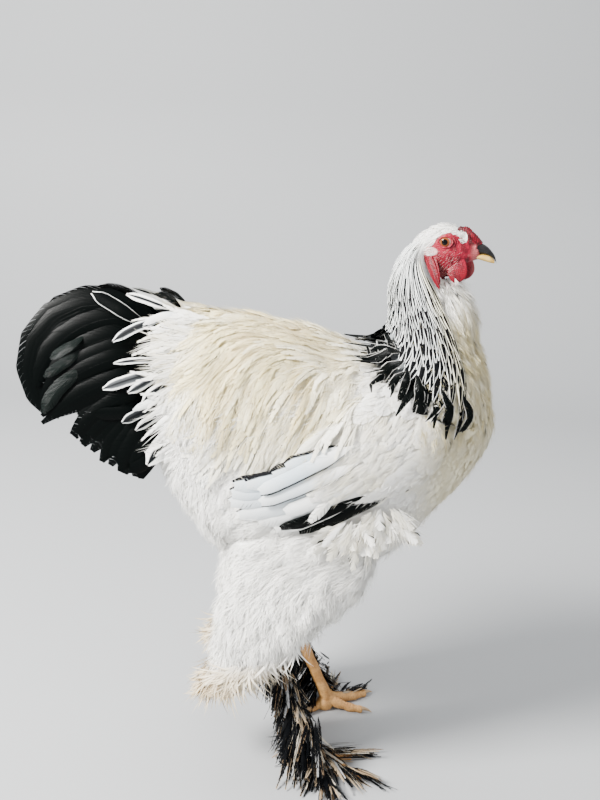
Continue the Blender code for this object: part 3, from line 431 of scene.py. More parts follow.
class Solid:
    """Closed pieces gathered to be fused into one surface."""

    def __init__(self):
        self.points, self.faces, self.count = [], [], 0

    def add_grid(self, grid, ring=False):
        rows, around, _ = grid.shape
        self.points.append(grid.reshape(-1, 3))
        self.faces += grid_faces(rows, around, self.count, ring=ring)
        self.count += rows * around

    def add_ball(self, centre, radii, around=16, rows=10):
        low = np.linspace(-math.pi / 2 + 0.12, math.pi / 2 - 0.12, rows)[:, None]
        turn = circle(around)[None]
        ball = vec(np.cos(low) * np.cos(turn), np.cos(low) * np.sin(turn), np.sin(low))
        self.add_grid(np.asarray(centre) + ball * np.asarray(radii))

    def fused(self, voxel, smoothing):
        """Points, triangles and normals of one skin over all the pieces."""
        loose = bpy.data.meshes.new("loose")
        loose.from_pydata([tuple(p) for p in np.concatenate(self.points)], [], self.faces)
        loose.update()
        work = bmesh.new()
        work.from_mesh(loose)
        bmesh.ops.recalc_face_normals(work, faces=work.faces)
        work.to_mesh(loose)
        work.free()
        obj = bpy.data.objects.new("loose", loose)
        bpy.context.scene.collection.objects.link(obj)
        remesh = obj.modifiers.new("fuse", "REMESH")
        remesh.mode = "VOXEL"
        remesh.voxel_size = voxel
        soft = obj.modifiers.new("soft", "SMOOTH")
        soft.factor = 0.5
        soft.iterations = smoothing
        bpy.context.view_layer.update()
        mesh = bpy.data.meshes.new_from_object(obj.evaluated_get(bpy.context.evaluated_depsgraph_get()))
        mesh.calc_loop_triangles()
        triangles = read(mesh.loop_triangles, "vertices", int)
        skin = read(mesh.vertices, "co"), triangles, read(mesh.vertices, "normal")
        bpy.data.objects.remove(obj)
        bpy.data.meshes.remove(loose)
        bpy.data.meshes.remove(mesh)
        return skin


def surface_tree(points, triangles):
    return BVHTree.FromPolygons([tuple(p) for p in points], [tuple(t) for t in triangles])


def piece(name, points, triangles, material, replaces=(), uvs=None, values=None, normals=None):
    """A shown mesh of triangles that rides on the root and stands for the nodes that it replaces."""
    mesh = bpy.data.meshes.new(name)
    mesh.vertices.add(len(points))
    mesh.vertices.foreach_set("co", (points + SHIFT).ravel())
    mesh.loops.add(triangles.size)
    mesh.loops.foreach_set("vertex_index", triangles.ravel())
    mesh.polygons.add(len(triangles))
    mesh.polygons.foreach_set("loop_start", np.arange(len(triangles)) * 3)
    mesh.update(calc_edges=True)
    mesh.shade_smooth()
    for key, uv in (uvs or {}).items():
        mesh.uv_layers.new(name=key).uv.foreach_set("vector", uv[triangles.ravel()].ravel())
    for key, value in (values or {}).items():
        if value.ndim == 2:
            layer = mesh.attributes.new(key, "FLOAT_COLOR", "POINT")
            layer.data.foreach_set("color", np.concatenate([value, np.ones((len(value), 1))], 1).ravel())
        else:
            mesh.attributes.new(key, "FLOAT", "POINT").data.foreach_set("value", value)
    if normals is not None:
        mesh.normals_split_custom_set_from_vertices(unit(normals))
    mesh.materials.append(material)
    obj = bpy.data.objects.new(name, mesh)
    bpy.context.scene.collection.objects.link(obj)
    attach(obj, "root")
    if replaces:
        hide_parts(*replaces)


# Feather shapes: points as along, across and lift, with triangles

def vane_shape(fingers, profile, slant, notch, ragged, seed, cup=0.10, quads=1, split=0.0):
    """A vane of barbs that leave the shaft at a slant, parted into fingers, with some deeper splits.

    Each point is along, across, lift, and across as a share of the vane's own half width.
    """
    draw = np.random.default_rng(seed)
    points, faces = [], []
    for side in (-1, 1):
        for j in range(fingers):
            a, b = j / fingers * 0.96, (j + 1) / fingers * 0.96
            wide_a, wide_b = profile(a), profile(b)
            gap = notch * (b - a) * (0.4 + 0.6 * draw.random()) * (6 if draw.random() < split else 1)
            reach = 1 + ragged * (draw.random() - 0.6)
            lean_a, lean_b = slant * wide_a * math.sqrt(1 - a), slant * wide_b * math.sqrt(1 - b)
            out_a, out_b = a + lean_a + gap, b + lean_b - gap * 0.5
            tip = b + lean_b + ragged * 0.06 * draw.random()
            start = len(points)
            points += [(a, 0.0, 0.0, 0.0), (b, 0.0, 0.0, 0.0)]
            for q in range(1, quads + 1):
                f = q / (quads + 1)
                for at, out, wide in ((a, out_a, wide_a), (b, out_b, wide_b)):
                    points.append((at + (out - at) * f, side * wide * reach * f, -cup * f * f, side * f))
            points.append((out_a, side * wide_a * reach * 0.97, -cup, side))
            points.append((tip, side * wide_b * reach, -cup, side))
            for p in range(start, start + 2 * quads + 2, 2):
                quad = (p + 2, p + 3, p + 1)[::side]
                faces += [(p, *quad[:2]), (p, *quad[1:])]
    return np.array(points), np.array(faces)


def tuft_shape(blades, spread, width, seed, bend=0.25):
    """A tuft of thin pointed blades from one root."""
    draw = np.random.default_rng(seed)
    points, faces = [], []
    for _ in range(blades):
        turn = spread * (2 * draw.random() - 1)
        long = 0.62 + 0.38 * draw.random()
        curve = bend * (2 * draw.random() - 1)
        root = 0.12 * draw.random()
        high = draw.uniform(-0.25, 0.35)
        start = len(points)
        for s, thick in ((0.0, 0.8), (0.4, 1.0), (0.75, 0.7), (1.0, 0.0)):
            along = root + (long - root) * s * math.cos(turn * 0.6)
            across = turn * s * long + curve * s * s
            for edge in (-1, 1) if thick else (0,):
                points.append((along, across + edge * width * thick, high * s * s, 0.4 * edge))
        for row in ((0, 1, 3), (0, 3, 2), (2, 3, 5), (2, 5, 4), (4, 5, 6)):
            faces.append([start + k for k in row])
    return np.array(points), np.array(faces)


def kinds(count, make, *sizes, **more):
    """Variants of one shape of feather."""
    return [make(*sizes, seed=s, **more) for s in range(count)]


def tapered(s, root, end, steep, point, full=0.5):
    """Half width of a feather that widens from its root and narrows to its end."""
    return np.clip(s * root, 0, 1) ** full * np.clip((end - s) * steep, 0, 1) ** point


def lance(s):
    """Half width of a long pointed feather."""
    return tapered(s, 5, 1.06, 1, 0.62)


def blade(s):
    """Half width of a stiff flight feather."""
    return tapered(s, 6, 1.02, 4.5, 0.5)


def sickle(s):
    """Half width of a long tail feather that narrows to a point."""
    return tapered(s, 6, 1.02, 1.9, 0.75)


def blunt(s):
    """Half width of a tail feather with a broad end."""
    return np.minimum(sickle(s) * 1.25, 1)


def strap(s):
    """Half width of a long feather that keeps its width and then narrows to a point."""
    return tapered(s, 5, 1.02, 2.4, 0.7)


def spear(s):
    """Half width of a broad, sharply pointed feather."""
    return tapered(s, 3.5, 1.01, 1.7, 0.85, 0.6)


def fringe(s):
    """Half width of a soft, rather narrow body feather."""
    return np.minimum(np.sin(np.pi * np.clip(0.12 + 0.83 * s, 0, 1)) ** 0.8, 1.0)


def leaf(s):
    """Half width of a rounded covert."""
    return np.minimum(fringe(s) * 1.1, 1) * np.clip((1.03 - s) * 4, 0, 1) ** 0.4


def unwrap(p):
    """Place on an unwrap of the body: round it and along it."""
    around = np.arctan2(p[:, 1], p[:, 2] - 0.40) / (2 * math.pi) + 0.5
    along, tall = np.clip((p[:, 0] + 0.21) / 0.43, 0, 1), np.clip((p[:, 2] - 0.09) / 0.61, 0, 1)
    return vec(0.02 + 0.96 * around, 0.02 + 0.48 * along + 0.48 * tall)


class Coat:
    """Feathers gathered into one piece."""

    def __init__(self, name):
        self.name, self.parts = name, []

    def add(self, shapes, paths, half, tint, dark, at, soft=0.35, rim=0.0, where=slice(None)):
        """Feathers along paths, a pair of points and normals (n, k, 3), where the mask says so.

        Half width, tint, dark share and rim are for each feather or for all. A feather's place on the unwrap
        is at, or comes from the point at.
        """
        path, normals = (p[where] for p in paths)
        n, k, _ = path.shape
        count = len(paths[0])
        half, dark, rim = (np.broadcast_to(v, count)[where] for v in (half, dark, rim))
        tint = np.broadcast_to(tint if tint.ndim == 3 else tint[..., None, :], paths[0].shape)[where]
        place = (unwrap(at) if at.shape[1] == 3 else at)[where]
        along = unit(np.gradient(path, axis=1))
        normals = unit(normals - along * np.sum(normals * along, -1, keepdims=True))
        side = np.cross(along, normals)
        pick = rng.integers(0, len(shapes), n)
        for number, (shape, faces) in enumerate(shapes):
            mine = np.flatnonzero(pick == number)
            many, m = len(mine), len(shape)
            s = np.clip(shape[:, 0], 0, 1) * (k - 1)
            i = np.minimum(s.astype(int), k - 2)
            f = (s - i)[None, :, None]
            centre, over, across, colour = (
                v[mine][:, i] * (1 - f) + v[mine][:, i + 1] * f for v in (path, normals, side, tint)
            )
            wide = half[mine][:, None, None]
            points = centre + across * shape[None, :, 1:2] * wide + over * shape[None, :, 2:3] * wide
            triangles = faces[None] + (np.arange(many) * m)[:, None, None]
            vane = np.broadcast_to(vec(shape[:, 3] * 0.5 + 0.5, shape[:, 0]), (many, m, 2))
            bake = place[mine][:, None] + 0.003 * (np.clip(vane, 0, 1) - 0.5)
            shade = over + across * shape[None, :, 1:2] * soft
            seed = rng.random(many)
            rows = [v.reshape(-1, v.shape[-1]) for v in (points, triangles, vane, bake, colour, shade)]
            self.parts.append(rows + [np.repeat(v, m) for v in (dark[mine], seed, rim[mine])])

    def finish(self, material, slot, replaces=()):
        """Shows the gathered feathers, none of them below the floor."""
        start = 0
        for part in self.parts:
            part[1] = part[1] + start
            start += len(part[0])
        joined = [np.concatenate(v) for v in zip(*self.parts)]
        points, triangles, vane, bake, tint, shade, dark, seed, rim = joined
        points = points + UP * np.maximum(-points[:, 2:] + 0.0004, 0)
        uvs = {"OFBake": bake, "Vane": vane}
        values = {"tint": tint, "dark": dark, "seed": seed, "rim": rim}
        piece(self.name, points, triangles, material, replaces, uvs, values, shade)


# Colours by place

def body_tint(p):
    """Colour of the plumage at a place: cream on the saddle, cream on the breast's front that is partly its
    own tint and partly painted shade, stained at the hocks.
    """
    x, z = p[..., 0], p[..., 2]
    saddle = smooth(0.46, 0.54, z) * smooth(0.09, 0.0, x) * smooth(-0.20, -0.12, x)
    # Cream on the breast's front: partly the plumage's own tint, partly painted shade of the shaded breast.
    breast = smooth(0.11, 0.17, x) * smooth(0.65, 0.57, z)
    thigh_hem = smooth(0.185, 0.115, z) * smooth(0.07, -0.05, x)
    speck = wobble(p, 55.0, 3)
    c = mix(WHITE, CREAM, np.clip(saddle * (0.55 + 0.85 * speck) + breast * 0.75, 0, 1))
    c = mix(c, STRAW, np.clip(saddle * (speck - 0.62) * 1.2, 0, 0.6))
    return mix(c, STAIN, np.clip(thigh_hem * (0.35 + 0.6 * speck), 0, 0.85))


def skin_tint(p):
    """The same markings as the coat's, with its painted shade on the breast's front: dark under the lower
    hackle and the cape.
    """
    x, _, z = p.T
    angle = sheet_angle(p)
    dark = smooth(0.60, 0.52, z) * smooth(0.500, 0.515, z) * smooth(62, 76, angle) * (x > 0.03)
    striped = smooth(0.50, 0.55, z) * smooth(0.66, 0.60, z) * smooth(70, 84, angle) * (x > 0.04)
    return mix(mix(body_tint(p), SMOKE * 0.55, striped * 0.7), BLACK * 3, dark)


def above_edge(p):
    """Height of a place on the head over the lower edge of the crown's white feathers."""
    return p[:, 2] - np.interp(p[:, 0], *CROWN_EDGE.T)


def on_comb(p):
    return (p[:, 0] > 0.0135) & (np.abs(p[:, 1]) < 0.0072) | (p[:, 0] > np.interp(p[:, 2], *COMB_REAR.T))


def ear_distance(p):
    """Distance from the middle of the ear, in its radii."""
    return np.hypot((p[:, 0] - EAR[0]) / EAR_RADII[0], (p[:, 2] - EAR[1]) / EAR_RADII[1])


def head_colour(p):
    """Red flesh by place, with painted shade in the comb's furrows, the lobe's fold and the cheek's wrinkles,
    and white under the crown's feathers, in the head's own frame.
    """
    x, y, z = p.T
    wide = np.abs(y)
    c = mix(RED, PINK, np.clip((wobble(p, 420.0, 21) - 0.64) * 1.2, 0, 0.35) * smooth(-0.030, -0.012, z))
    flaps = np.maximum(smooth(-0.022, -0.030, z), smooth(-0.006, -0.012, x) * smooth(-0.012, -0.018, z))
    c = mix(c, BRIGHT_RED, np.maximum(flaps, on_comb(p) * smooth(-0.002, 0.004, z)))
    c = mix(c, DEEP_RED, smooth(0.45, 0.20, wobble(p * (1.0, 1.0, 0.6), 380.0, 22)) * 0.55)
    comb = on_comb(p) * smooth(0.000, 0.004, z)
    # Painted shade: darker red in the furrows between the comb's points.
    furrow_shade = smooth(0.1, -0.9, np.cos(2 * math.pi * (x - 0.0168 + 0.0012 * (wide > 0.0030)) / 0.00253))
    c = mix(c, DEEP_RED, comb * furrow_shade * 0.8)
    c = mix(c, DEEP_RED, comb * smooth(0.52, 0.36, wobble(p * (1.0, 1.0, 0.55), 300.0, 25)) * 0.85)
    lobes = smooth(-0.012, -0.016, z) * smooth(0.010, 0.012, wide) * smooth(0.004, 0.000, x)
    c = mix(c, BRIGHT_RED, lobes * smooth(-0.024, -0.021, x))
    # Painted shade: darker red along the crease between the earlobe and its fold.
    fold = np.abs((x + 0.0150) * 0.905 + (z + 0.0150) * 0.425)
    lobe = smooth(-0.015, -0.019, z) * smooth(0.003, 0.0, x)
    c = mix(c, DEEP_RED, smooth(0.0013, 0.0004, fold) * lobe * 0.85)
    cheek = smooth(-0.011, -0.006, x) * smooth(0.024, 0.018, x) * smooth(-0.008, -0.013, z)
    cheek = cheek * smooth(-0.040, -0.034, z)
    # Painted shade: darker red lines for the wrinkles of the cheek.
    groove_shade = smooth(0.3, 1.0, np.sin((x - z) * 3300 + 5 * wobble(p, 160.0, 24)))
    c = mix(c, DEEP_RED, cheek * groove_shade * 0.75)
    c = mix(c, np.array([0.45, 0.12, 0.12]), smooth(0.030, 0.036, x) * smooth(0.004, 0.000, z) * 0.7)
    c = mix(c, np.array([0.72, 0.46, 0.43]), smooth(1.25, 0.85, ear_distance(p)) * 0.9)
    return mix(c, WHITE * 0.9, smooth(-0.0008, 0.0012, above_edge(p)) * ~on_comb(p) * (z > -0.030))


# Materials

class Value:
    """The output of a node, which can be calculated with."""

    def __init__(self, finish, socket):
        self.finish, self.socket = finish, socket

    def other(self, name):
        """Another output of the same node."""
        return Value(self.finish, self.socket.node.outputs[name])

    def __add__(self, other):
        return self.finish.calc("ADD", self, other)

    def __sub__(self, other):
        return self.finish.calc("SUBTRACT", self, other)

    def __rsub__(self, other):
        return self.finish.calc("SUBTRACT", other, self)

    def __mul__(self, other):
        return self.finish.calc("MULTIPLY", self, other)

    def __abs__(self):
        return self.finish.calc("ABSOLUTE", self)


class Finish:
    """A material whose nodes are made one by one, each giving a Value."""

    def __init__(self, name):
        self.material = bpy.data.materials.new(name)
        self.material.use_nodes = True
        self.tree = self.material.node_tree

    def join(self, node, inputs):
        """Sets each named input of a node, or links it to another node's output."""
        for key, value in inputs.items():
            socket = node.inputs[key]
            if isinstance(value, Value):
                self.tree.links.new(value.socket, socket)
            else:
                socket.default_value = (*value, 1) if socket.type == "RGBA" else value

    def node(self, kind, inputs, output=0, **settings):
        node = self.tree.nodes.new("ShaderNode" + kind)
        for key, value in settings.items():
            setattr(node, key, value)
        self.join(node, inputs)
        return Value(self, node.outputs[output])

    def calc(self, kind, *values, clamp=False):
        return self.node("Math", dict(enumerate(values)), operation=kind, use_clamp=clamp)

    def mix(self, share, a, b, kind="MIX"):
        return self.node("Mix", {0: share, 6: a, 7: b}, 2, data_type="RGBA", blend_type=kind)

    def shaded(self, colour, shade):
        """A colour multiplied by a shade."""
        return self.mix(1.0, colour, shade, "MULTIPLY")

    def attribute(self, name, output="Fac"):
        return self.node("Attribute", {}, output, attribute_name=name)

    def place(self):
        return self.node("TexCoord", {}, "Object")

    def noise(self, scale, detail=2.0, **inputs):
        return self.node("TexNoise", {"Scale": scale, "Detail": detail, **inputs}, "Fac")

    def cells(self, scale):
        return self.node("TexVoronoi", {"Scale": scale, "Vector": self.place()}, "Distance")

    def spread(self, value, low, high, start=0.0, end=1.0):
        """A value from start to end, brought to between low and high."""
        inputs = {"Value": value, "From Min": start, "From Max": end, "To Min": low, "To Max": high}
        return self.node("MapRange", inputs)

    def done(self, colour, roughness, height=None, strength=0.0, distance=0.0, invert=False, **more):
        """The material, with its shader's inputs and a bump from the height."""
        inputs = {"Base Color": colour, "Roughness": roughness}
        inputs.update({key.replace("_", " "): value for key, value in more.items()})
        if height is not None:
            bump = {"Strength": strength, "Distance": distance, "Height": height}
            inputs["Normal"] = self.node("Bump", bump, invert=invert)
        self.join(self.tree.nodes["Principled BSDF"], inputs)
        return self.material


def feather_material(name, ink, roughness, depth, fray, gloss=0.30, sheen=0.0, scatter=0.0, grey=0.0):
    """Vane with slanted barbs, a dark middle as wide as its dark share, a dark rim and small variation."""
    f = Finish(name + "_plumage")
    split = f.node("SeparateXYZ", {0: f.node("UVMap", {}, uv_map="Vane")})
    signed, along = (split - 0.5) * 2.0, split.other("Y")
    across = abs(signed)
    dark, rim, seed = (f.attribute(key) for key in ("dark", "rim", "seed"))
    barbs = f.noise(26.0, Vector=f.node("CombineXYZ", {0: along * 3.0 - across, 1: seed}))
    jitter = barbs - 0.5
    taper = f.calc("MULTIPLY", 1.04 - along, 5.0, clamp=True)
    edge = dark * f.calc("SQRT", taper) - across + jitter * fray
    stripe = f.calc("ADD", edge * 6.0, 0.5, clamp=True) * f.calc("GREATER_THAN", dark, 0.02)
    reach = abs(rim)
    out = signed * f.calc("SIGN", rim) + reach - 1.0 + jitter * 0.3
    hem = f.calc("ADD", out * 12.0, 0.5, clamp=True) * f.calc("GREATER_THAN", reach, 0.02)
    base = f.shaded(f.attribute("tint", "Color"), f.spread(barbs, 0.86, 1.10))
    faded = f.calc("MULTIPLY", seed * across, grey, clamp=True)
    colour = f.mix(f.calc("MAXIMUM", stripe, hem), base, f.mix(faded, ink, (0.30, 0.32, 0.34)))
    height = barbs + f.calc("LESS_THAN", across, 0.05)
    return f.done(
        colour, roughness, height, depth, 0.0006, Specular_IOR_Level=gloss, Sheen_Weight=sheen,
        Subsurface_Weight=scatter, Subsurface_Radius=(0.004, 0.004, 0.0038), Subsurface_Scale=1.0,
    )


def horn_material(name, dark, light, roughness):
    f = Finish(name + "_keratin")
    noise = f.noise(140.0, 4.0, Vector=f.place())
    colour = f.mix(f.spread(noise, 0.0, 1.0, 0.35, 0.70), dark, light)
    return f.done(colour, roughness, noise, 0.25, 0.0004, Specular_IOR_Level=0.30)


def flesh_material():
    f = Finish("red_flesh")
    cells = f.cells(900.0)
    noise = f.noise(500.0, 3.0, Vector=f.place())
    colour = f.shaded(f.attribute("tint", "Color"), f.spread(cells, 1.12, 0.72, end=0.9))
    return f.done(
        colour, 0.45, noise - cells, 0.5, 0.0005, Specular_IOR_Level=0.25,
        Subsurface_Weight=0.06, Subsurface_Radius=(0.004, 0.001, 0.0008), Subsurface_Scale=1.0,
    )


def scale_material():
    f = Finish("leg_scales")
    cells = f.cells(420.0)
    blotch = f.spread(f.noise(90.0, 4.0, Vector=f.place()), 0.0, 1.0, 0.3, 0.7)
    base = f.mix(blotch, (0.42, 0.19, 0.05), (0.66, 0.36, 0.12))
    return f.done(f.shaded(base, f.spread(cells, 1.10, 0.70)), 0.55, cells, 0.5, 0.0007, invert=True)


def skin_material():
    f = Finish("pale_skin")
    noise = f.noise(160.0, 3.0)
    colour = f.shaded(f.attribute("tint", "Color"), f.spread(noise, 0.80, 1.0))
    return f.done(colour, 0.85, noise, 0.4, 0.001)


def eye_material():
    """Black pupil, orange iris with a dark edge, and pink lids by the distance from the middle."""
    f = Finish("bird_eye")
    where = f.attribute("ring") + (f.noise(900.0) - 0.5) * 0.07
    ramp = f.node("ValToRGB", {0: where})
    stops = (
        (0.0, (0.001, 0.001, 0.001)), (0.43, (0.001, 0.001, 0.001)), (0.47, (0.06, 0.014, 0.005)),
        (0.56, (0.15, 0.042, 0.012)), (0.68, (0.18, 0.055, 0.016)), (0.74, (0.05, 0.015, 0.008)),
        (0.82, (0.40, 0.22, 0.20)), (1.0, (0.42, 0.10, 0.10)),
    )
    elements = ramp.socket.node.color_ramp.elements
    while len(elements) < len(stops):
        elements.new(0.5)
    for element, (place, colour) in zip(elements, stops):
        element.position = place
        element.color = (*colour, 1)
    return f.done(ramp, 0.08, Specular_IOR_Level=0.14)


def floor_material():
    f = Finish("floor_paint")
    return f.done(f.shaded((0.86, 0.88, 0.90), f.spread(f.noise(3.0), 0.36, 0.43)), 0.6)


# The skin under the plumage

def body_skin():
    """Torso, neck, thighs, wing domes and the tail's root as one loose-surfaced skin."""
    solid = Solid()
    turn = circle(40)[None]
    solid.add_grid(torso_point(rows_at(TORSO, np.linspace(0.03, 0.975, 44))[:, :1], turn, 0.007))
    solid.add_grid(tube_point(HACKLE_SHEET, np.linspace(0.0, 0.74, 30)[:, None], turn, 0.0065))
    for side in SIDES.values():
        solid.add_grid(thigh_point(np.linspace(0, 1, 24)[:, None], turn, 0.009, side))
        solid.add_grid(wing_core(side))
    solid.add_ball((-0.180, 0, 0.492), (0.040, 0.040, 0.070))
    solid.add_ball((0.135, 0, 0.602), (0.0245, 0.0240, 0.030))
    solid.add_ball((0.149, 0, 0.572), (0.0300, 0.0420, 0.050))
    points, triangles, normals = solid.fused(0.0032, 10)
    x, _, z = points.T
    loose = 0.0012 + 0.0036 * fluffiness(points) + 0.0028 * smooth(0.08, -0.02, x)
    loose = loose * (1 - covered_by_wing(points)) * smooth(0.56, 0.50, z - 0.4 * (x < 0.05))
    return points + normals * (loose * (wobble(points, 60.0, 5) * 2 - 1))[:, None], triangles


def wing_point(along, across, lift, side):
    """Point over the flank, from shoulder 0 to tip 1 and across in half widths, lifted off the body."""
    along, across, lift = np.broadcast_arrays(*(np.asarray(v, float) for v in (along, across, lift)))
    flat = WING_SHOULDER + WING_AXIS * along[..., None] * WING_LENGTH
    flat = flat + WING_UP * across[..., None] * WING_HALF
    x, z = flat[..., 0], flat[..., 1]
    return vec(x, side * (torso_side(np.clip(x, -0.15, 0.15), z) + lift), z)


def wing_middle(along):
    return 0.30 - 0.62 * along


def wing_swell(share):
    return np.sin(math.pi * np.clip(share, 0.0, 1.0) ** 0.60) ** 0.55


def wing_core(side):
    """The fleshy part of the folded wing, a low dome."""
    share = np.linspace(0.02, 0.98, 22)[:, None]
    dome, swell = np.sin(circle(28))[None], wing_swell(share)
    lift = -0.002 + np.where(dome > 0, WING_THICK * dome * swell, 0.012 * dome)
    along = WING_DOME_END * share
    across = wing_middle(along) + WING_DOME_SHARE * swell * np.cos(circle(28))[None]
    return wing_point(along, across, lift, side)


# Places by the shape of the body

def sheet_angle(p):
    """Angle round the neck from the throat."""
    return np.degrees(np.arctan2(np.abs(p[:, 1]) / 1.15, p[:, 0] - 0.118))


def covered_by_wing(p):
    """Whether a place lies under the folded wing."""
    flat = p[:, ::2] - WING_SHOULDER
    along = flat @ WING_AXIS / WING_LENGTH
    across = flat @ WING_UP / WING_HALF
    inside = np.abs(across - wing_middle(along)) < 0.64 * wing_swell(along)
    return inside & (along > 0.05) & (along < 0.95) & (np.abs(p[:, 1]) > 0.05)


def covered_by_hackle(p):
    front = 84 - 10 * smooth(0.62, 0.56, p[:, 2])
    low = 0.520 + 0.022 * smooth(0.080, 0.050, p[:, 0])
    return (p[:, 2] > low) & (sheet_angle(p) > front) & (p[:, 0] > 0.040)


def fluffiness(p):
    """How far a place is downy rather than feathered: belly, rear and thighs."""
    rear = smooth(-0.09, -0.16, p[:, 0]) * smooth(0.56, 0.46, p[:, 2])
    return np.clip(smooth(0.40, 0.31, p[:, 2]) + rear, 0, 1)


def neck_share(p, low, high, back, front):
    return smooth(low, high, p[:, 2]) * smooth(back, front, p[:, 0])


def body_heading(p, over):
    """The way that the feathers lie, by place."""
    x, y, z = p.T
    thigh = smooth(0.32, 0.24, z)
    way = mix(np.array([-0.85, 0.0, -0.50]), np.array([-0.22, 0.0, -1.0]), thigh)
    way = mix(way, np.array([0.05, 0.0, -1.0]), neck_share(p, 0.50, 0.56, 0.04, 0.09))
    way = mix(way, np.array([-0.35, 0.0, -1.0]), smooth(-0.08, -0.16, x) * (1 - thigh))
    way = wavy(way, p, 0.13, 0.34, 38.0, 61)
    way[:, 1] += np.sign(y) * 0.08
    return way


# Scatter and paths

def scattered(points, triangles, spacing, keep):
    """Places on a surface no closer than their spacing, where keep says yes."""
    corners = points[triangles]
    area = np.linalg.norm(np.cross(corners[:, 1] - corners[:, 0], corners[:, 2] - corners[:, 0]), axis=1) / 2
    wanted = int(area.sum() / 0.004**2 * 5)
    chosen = rng.choice(len(triangles), wanted, p=area / area.sum())
    a, b = rng.random(wanted), rng.random(wanted)
    flip = a + b > 1
    a[flip], b[flip] = 1 - a[flip], 1 - b[flip]
    c = corners[chosen]
    p = c[:, 0] + (c[:, 1] - c[:, 0]) * a[:, None] + (c[:, 2] - c[:, 0]) * b[:, None]
    p = p[keep(p)]
    gap = spacing(p)
    keys = np.floor(p / float(gap.max())).astype(int)
    near = [(i, j, k) for i in (-1, 0, 1) for j in (-1, 0, 1) for k in (-1, 0, 1)]
    taken, out = {}, []
    for q, g, (kx, ky, kz) in zip(p, gap, keys):
        cells = (taken.get((kx + dx, ky + dy, kz + dz), ()) for dx, dy, dz in near)
        if any(math.dist(q, r) < g for cell in cells for r in cell):
            continue
        taken.setdefault((kx, ky, kz), []).append(q)
        out.append(q)
    return np.array(out)


def lie_paths(tree, roots, heading, length, height, steps=5, hold=1.0):
    """Paths over a surface from the roots, each step turned into the surface's plane and lifted."""
    path, normals = np.zeros((2, len(roots), steps, 3))
    here, way = roots, None
    for s in range(steps):
        nearest = [tree.find_nearest(p) for p in here]
        foot, over = (np.array([spot[i] for spot in nearest]) for i in (0, 1))
        share = s / (steps - 1)
        on = foot + (here - foot) * (1 - hold) * (share > 0)
        normals[:, s] = over
        path[:, s] = on + over * (height * (share ** 0.75))[:, None]
        goal = heading(foot, over)
        goal = unit(goal - over * np.sum(goal * over, -1, keepdims=True))
        way = goal if way is None else unit(0.5 * way + 0.5 * goal)
        here = on + way * (length / (steps - 1))[:, None]
    return path, normals


def straight_paths(roots, ways, length, sag, over):
    """Paths that leave the roots along their ways and sag, staying off the floor."""
    t = np.linspace(0, 1, 5)[None, :, None]
    path = roots[:, None] + ways[:, None] * (length[:, None, None] * t) - UP * (sag[:, None, None] * t * t)
    floor = 0.0012 + 0.003 * rng.random(len(roots))[:, None] * np.linspace(1, 0.3, 5)
    path[..., 2] = np.maximum(path[..., 2], floor)
    return path, np.repeat(over[:, None], 5, 1)


# Body

def make_body(tree, points, triangles):
    """Feathers of breast, back, belly, rear and thighs, and fine down over them."""
    contour = kinds(6, vane_shape, 8, fringe, 0.20, 0.18, 0.16, cup=0.06, quads=0)
    down = kinds(10, tuft_shape, 13, 0.62, 0.026, bend=0.40)

    def keep(p):
        throat = (p[:, 0] > 0.118) & (p[:, 2] > 0.53)
        return ~covered_by_wing(p) & ~covered_by_hackle(p) & ~throat & (p[:, 2] < 0.655)

    def contour_gap(p):
        return 0.0058 - 0.0020 * neck_share(p, 0.52, 0.62, 0.04, 0.09)

    def down_gap(p):
        return 0.0070 - 0.0020 * fluffiness(p) - 0.0018 * neck_share(p, 0.52, 0.62, 0.04, 0.09)

    coats = []
    roots = scattered(points, triangles, contour_gap, keep)
    n, soft, neck = len(roots), fluffiness(roots), neck_share(roots, 0.50, 0.60, 0.08, 0.12)
    length = (0.036 - 0.018 * neck) * rng.uniform(0.85, 1.15, n)
    paths = lie_paths(tree, roots, body_heading, length, 0.0052 + 0.0010 * soft - 0.0012 * neck, hold=0.9)
    half = (0.0086 - 0.0040 * neck) * rng.uniform(0.85, 1.15, n)
    for name, side in SIDES.items():
        coats.append(Coat(f"coat_body_{name}"))
        mine = roots[:, 1] * side > 0
        coats[-1].add(contour, paths, half, body_tint(roots), 0, roots, soft=0.2, where=mine)

    roots = scattered(points, triangles, down_gap, keep)
    n, soft, neck = len(roots), fluffiness(roots), neck_share(roots, 0.50, 0.60, 0.08, 0.12)
    length = (0.032 + 0.008 * soft - 0.014 * neck) * rng.uniform(0.75, 1.25, n)
    height = 0.0060 + 0.0050 * soft * rng.random(n) - 0.0015 * neck
    paths = lie_paths(tree, roots, body_heading, length, height, hold=0.8)
    half = 0.017 + 0.004 * soft - 0.007 * neck
    for name, side in SIDES.items():
        for part, high in (("belly", True), ("thigh", False)):
            mine = (roots[:, 1] * side > 0) & ((roots[:, 2] > 0.325) == high)
            coats.append(Coat(f"coat_down_{part}_{name}"))
            coats[-1].add(down, paths, half, body_tint(roots), 0, roots, soft=0.3, where=mine)
    return coats


def make_throat(tree, points, triangles):
    """Fine silky strands down the front of the neck, from the chin to the breast."""
    silk = kinds(8, tuft_shape, 11, 0.26, 0.030, bend=0.55)

    def keep(p):
        return (p[:, 0] > 0.105) & (p[:, 2] > 0.47) & (p[:, 2] < 0.632)

    def heading(p, over):
        apart = 0.35 * np.sign(p[:, 1]) * smooth(0.002, 0.02, np.abs(p[:, 1]))
        return wavy(vec(0.30, apart, -1.0), p, 0.10, 0.30, 60.0, 75)

    coat = Coat("coat_throat")
    roots = scattered(points, triangles, lambda p: np.full(len(p), 0.0040), keep)
    n = len(roots)
    height = 0.0035 + 0.0055 * rng.random(n)
    path, normals = lie_paths(tree, roots, heading, rng.uniform(0.020, 0.036, n), height, hold=0.80)
    normals = strayed(normals, 0.35)
    tint = mix(WHITE, CREAM, (0.40 + 0.60 * rng.random(n)) * smooth(0.615, 0.585, roots[:, 2]) + 0.1)
    dark = np.where(rng.random(n) < 0.03, 3.0, 0.0)
    coat.add(silk, (path, normals), 0.0085, tint, dark, roots, soft=0.2)
    return coat


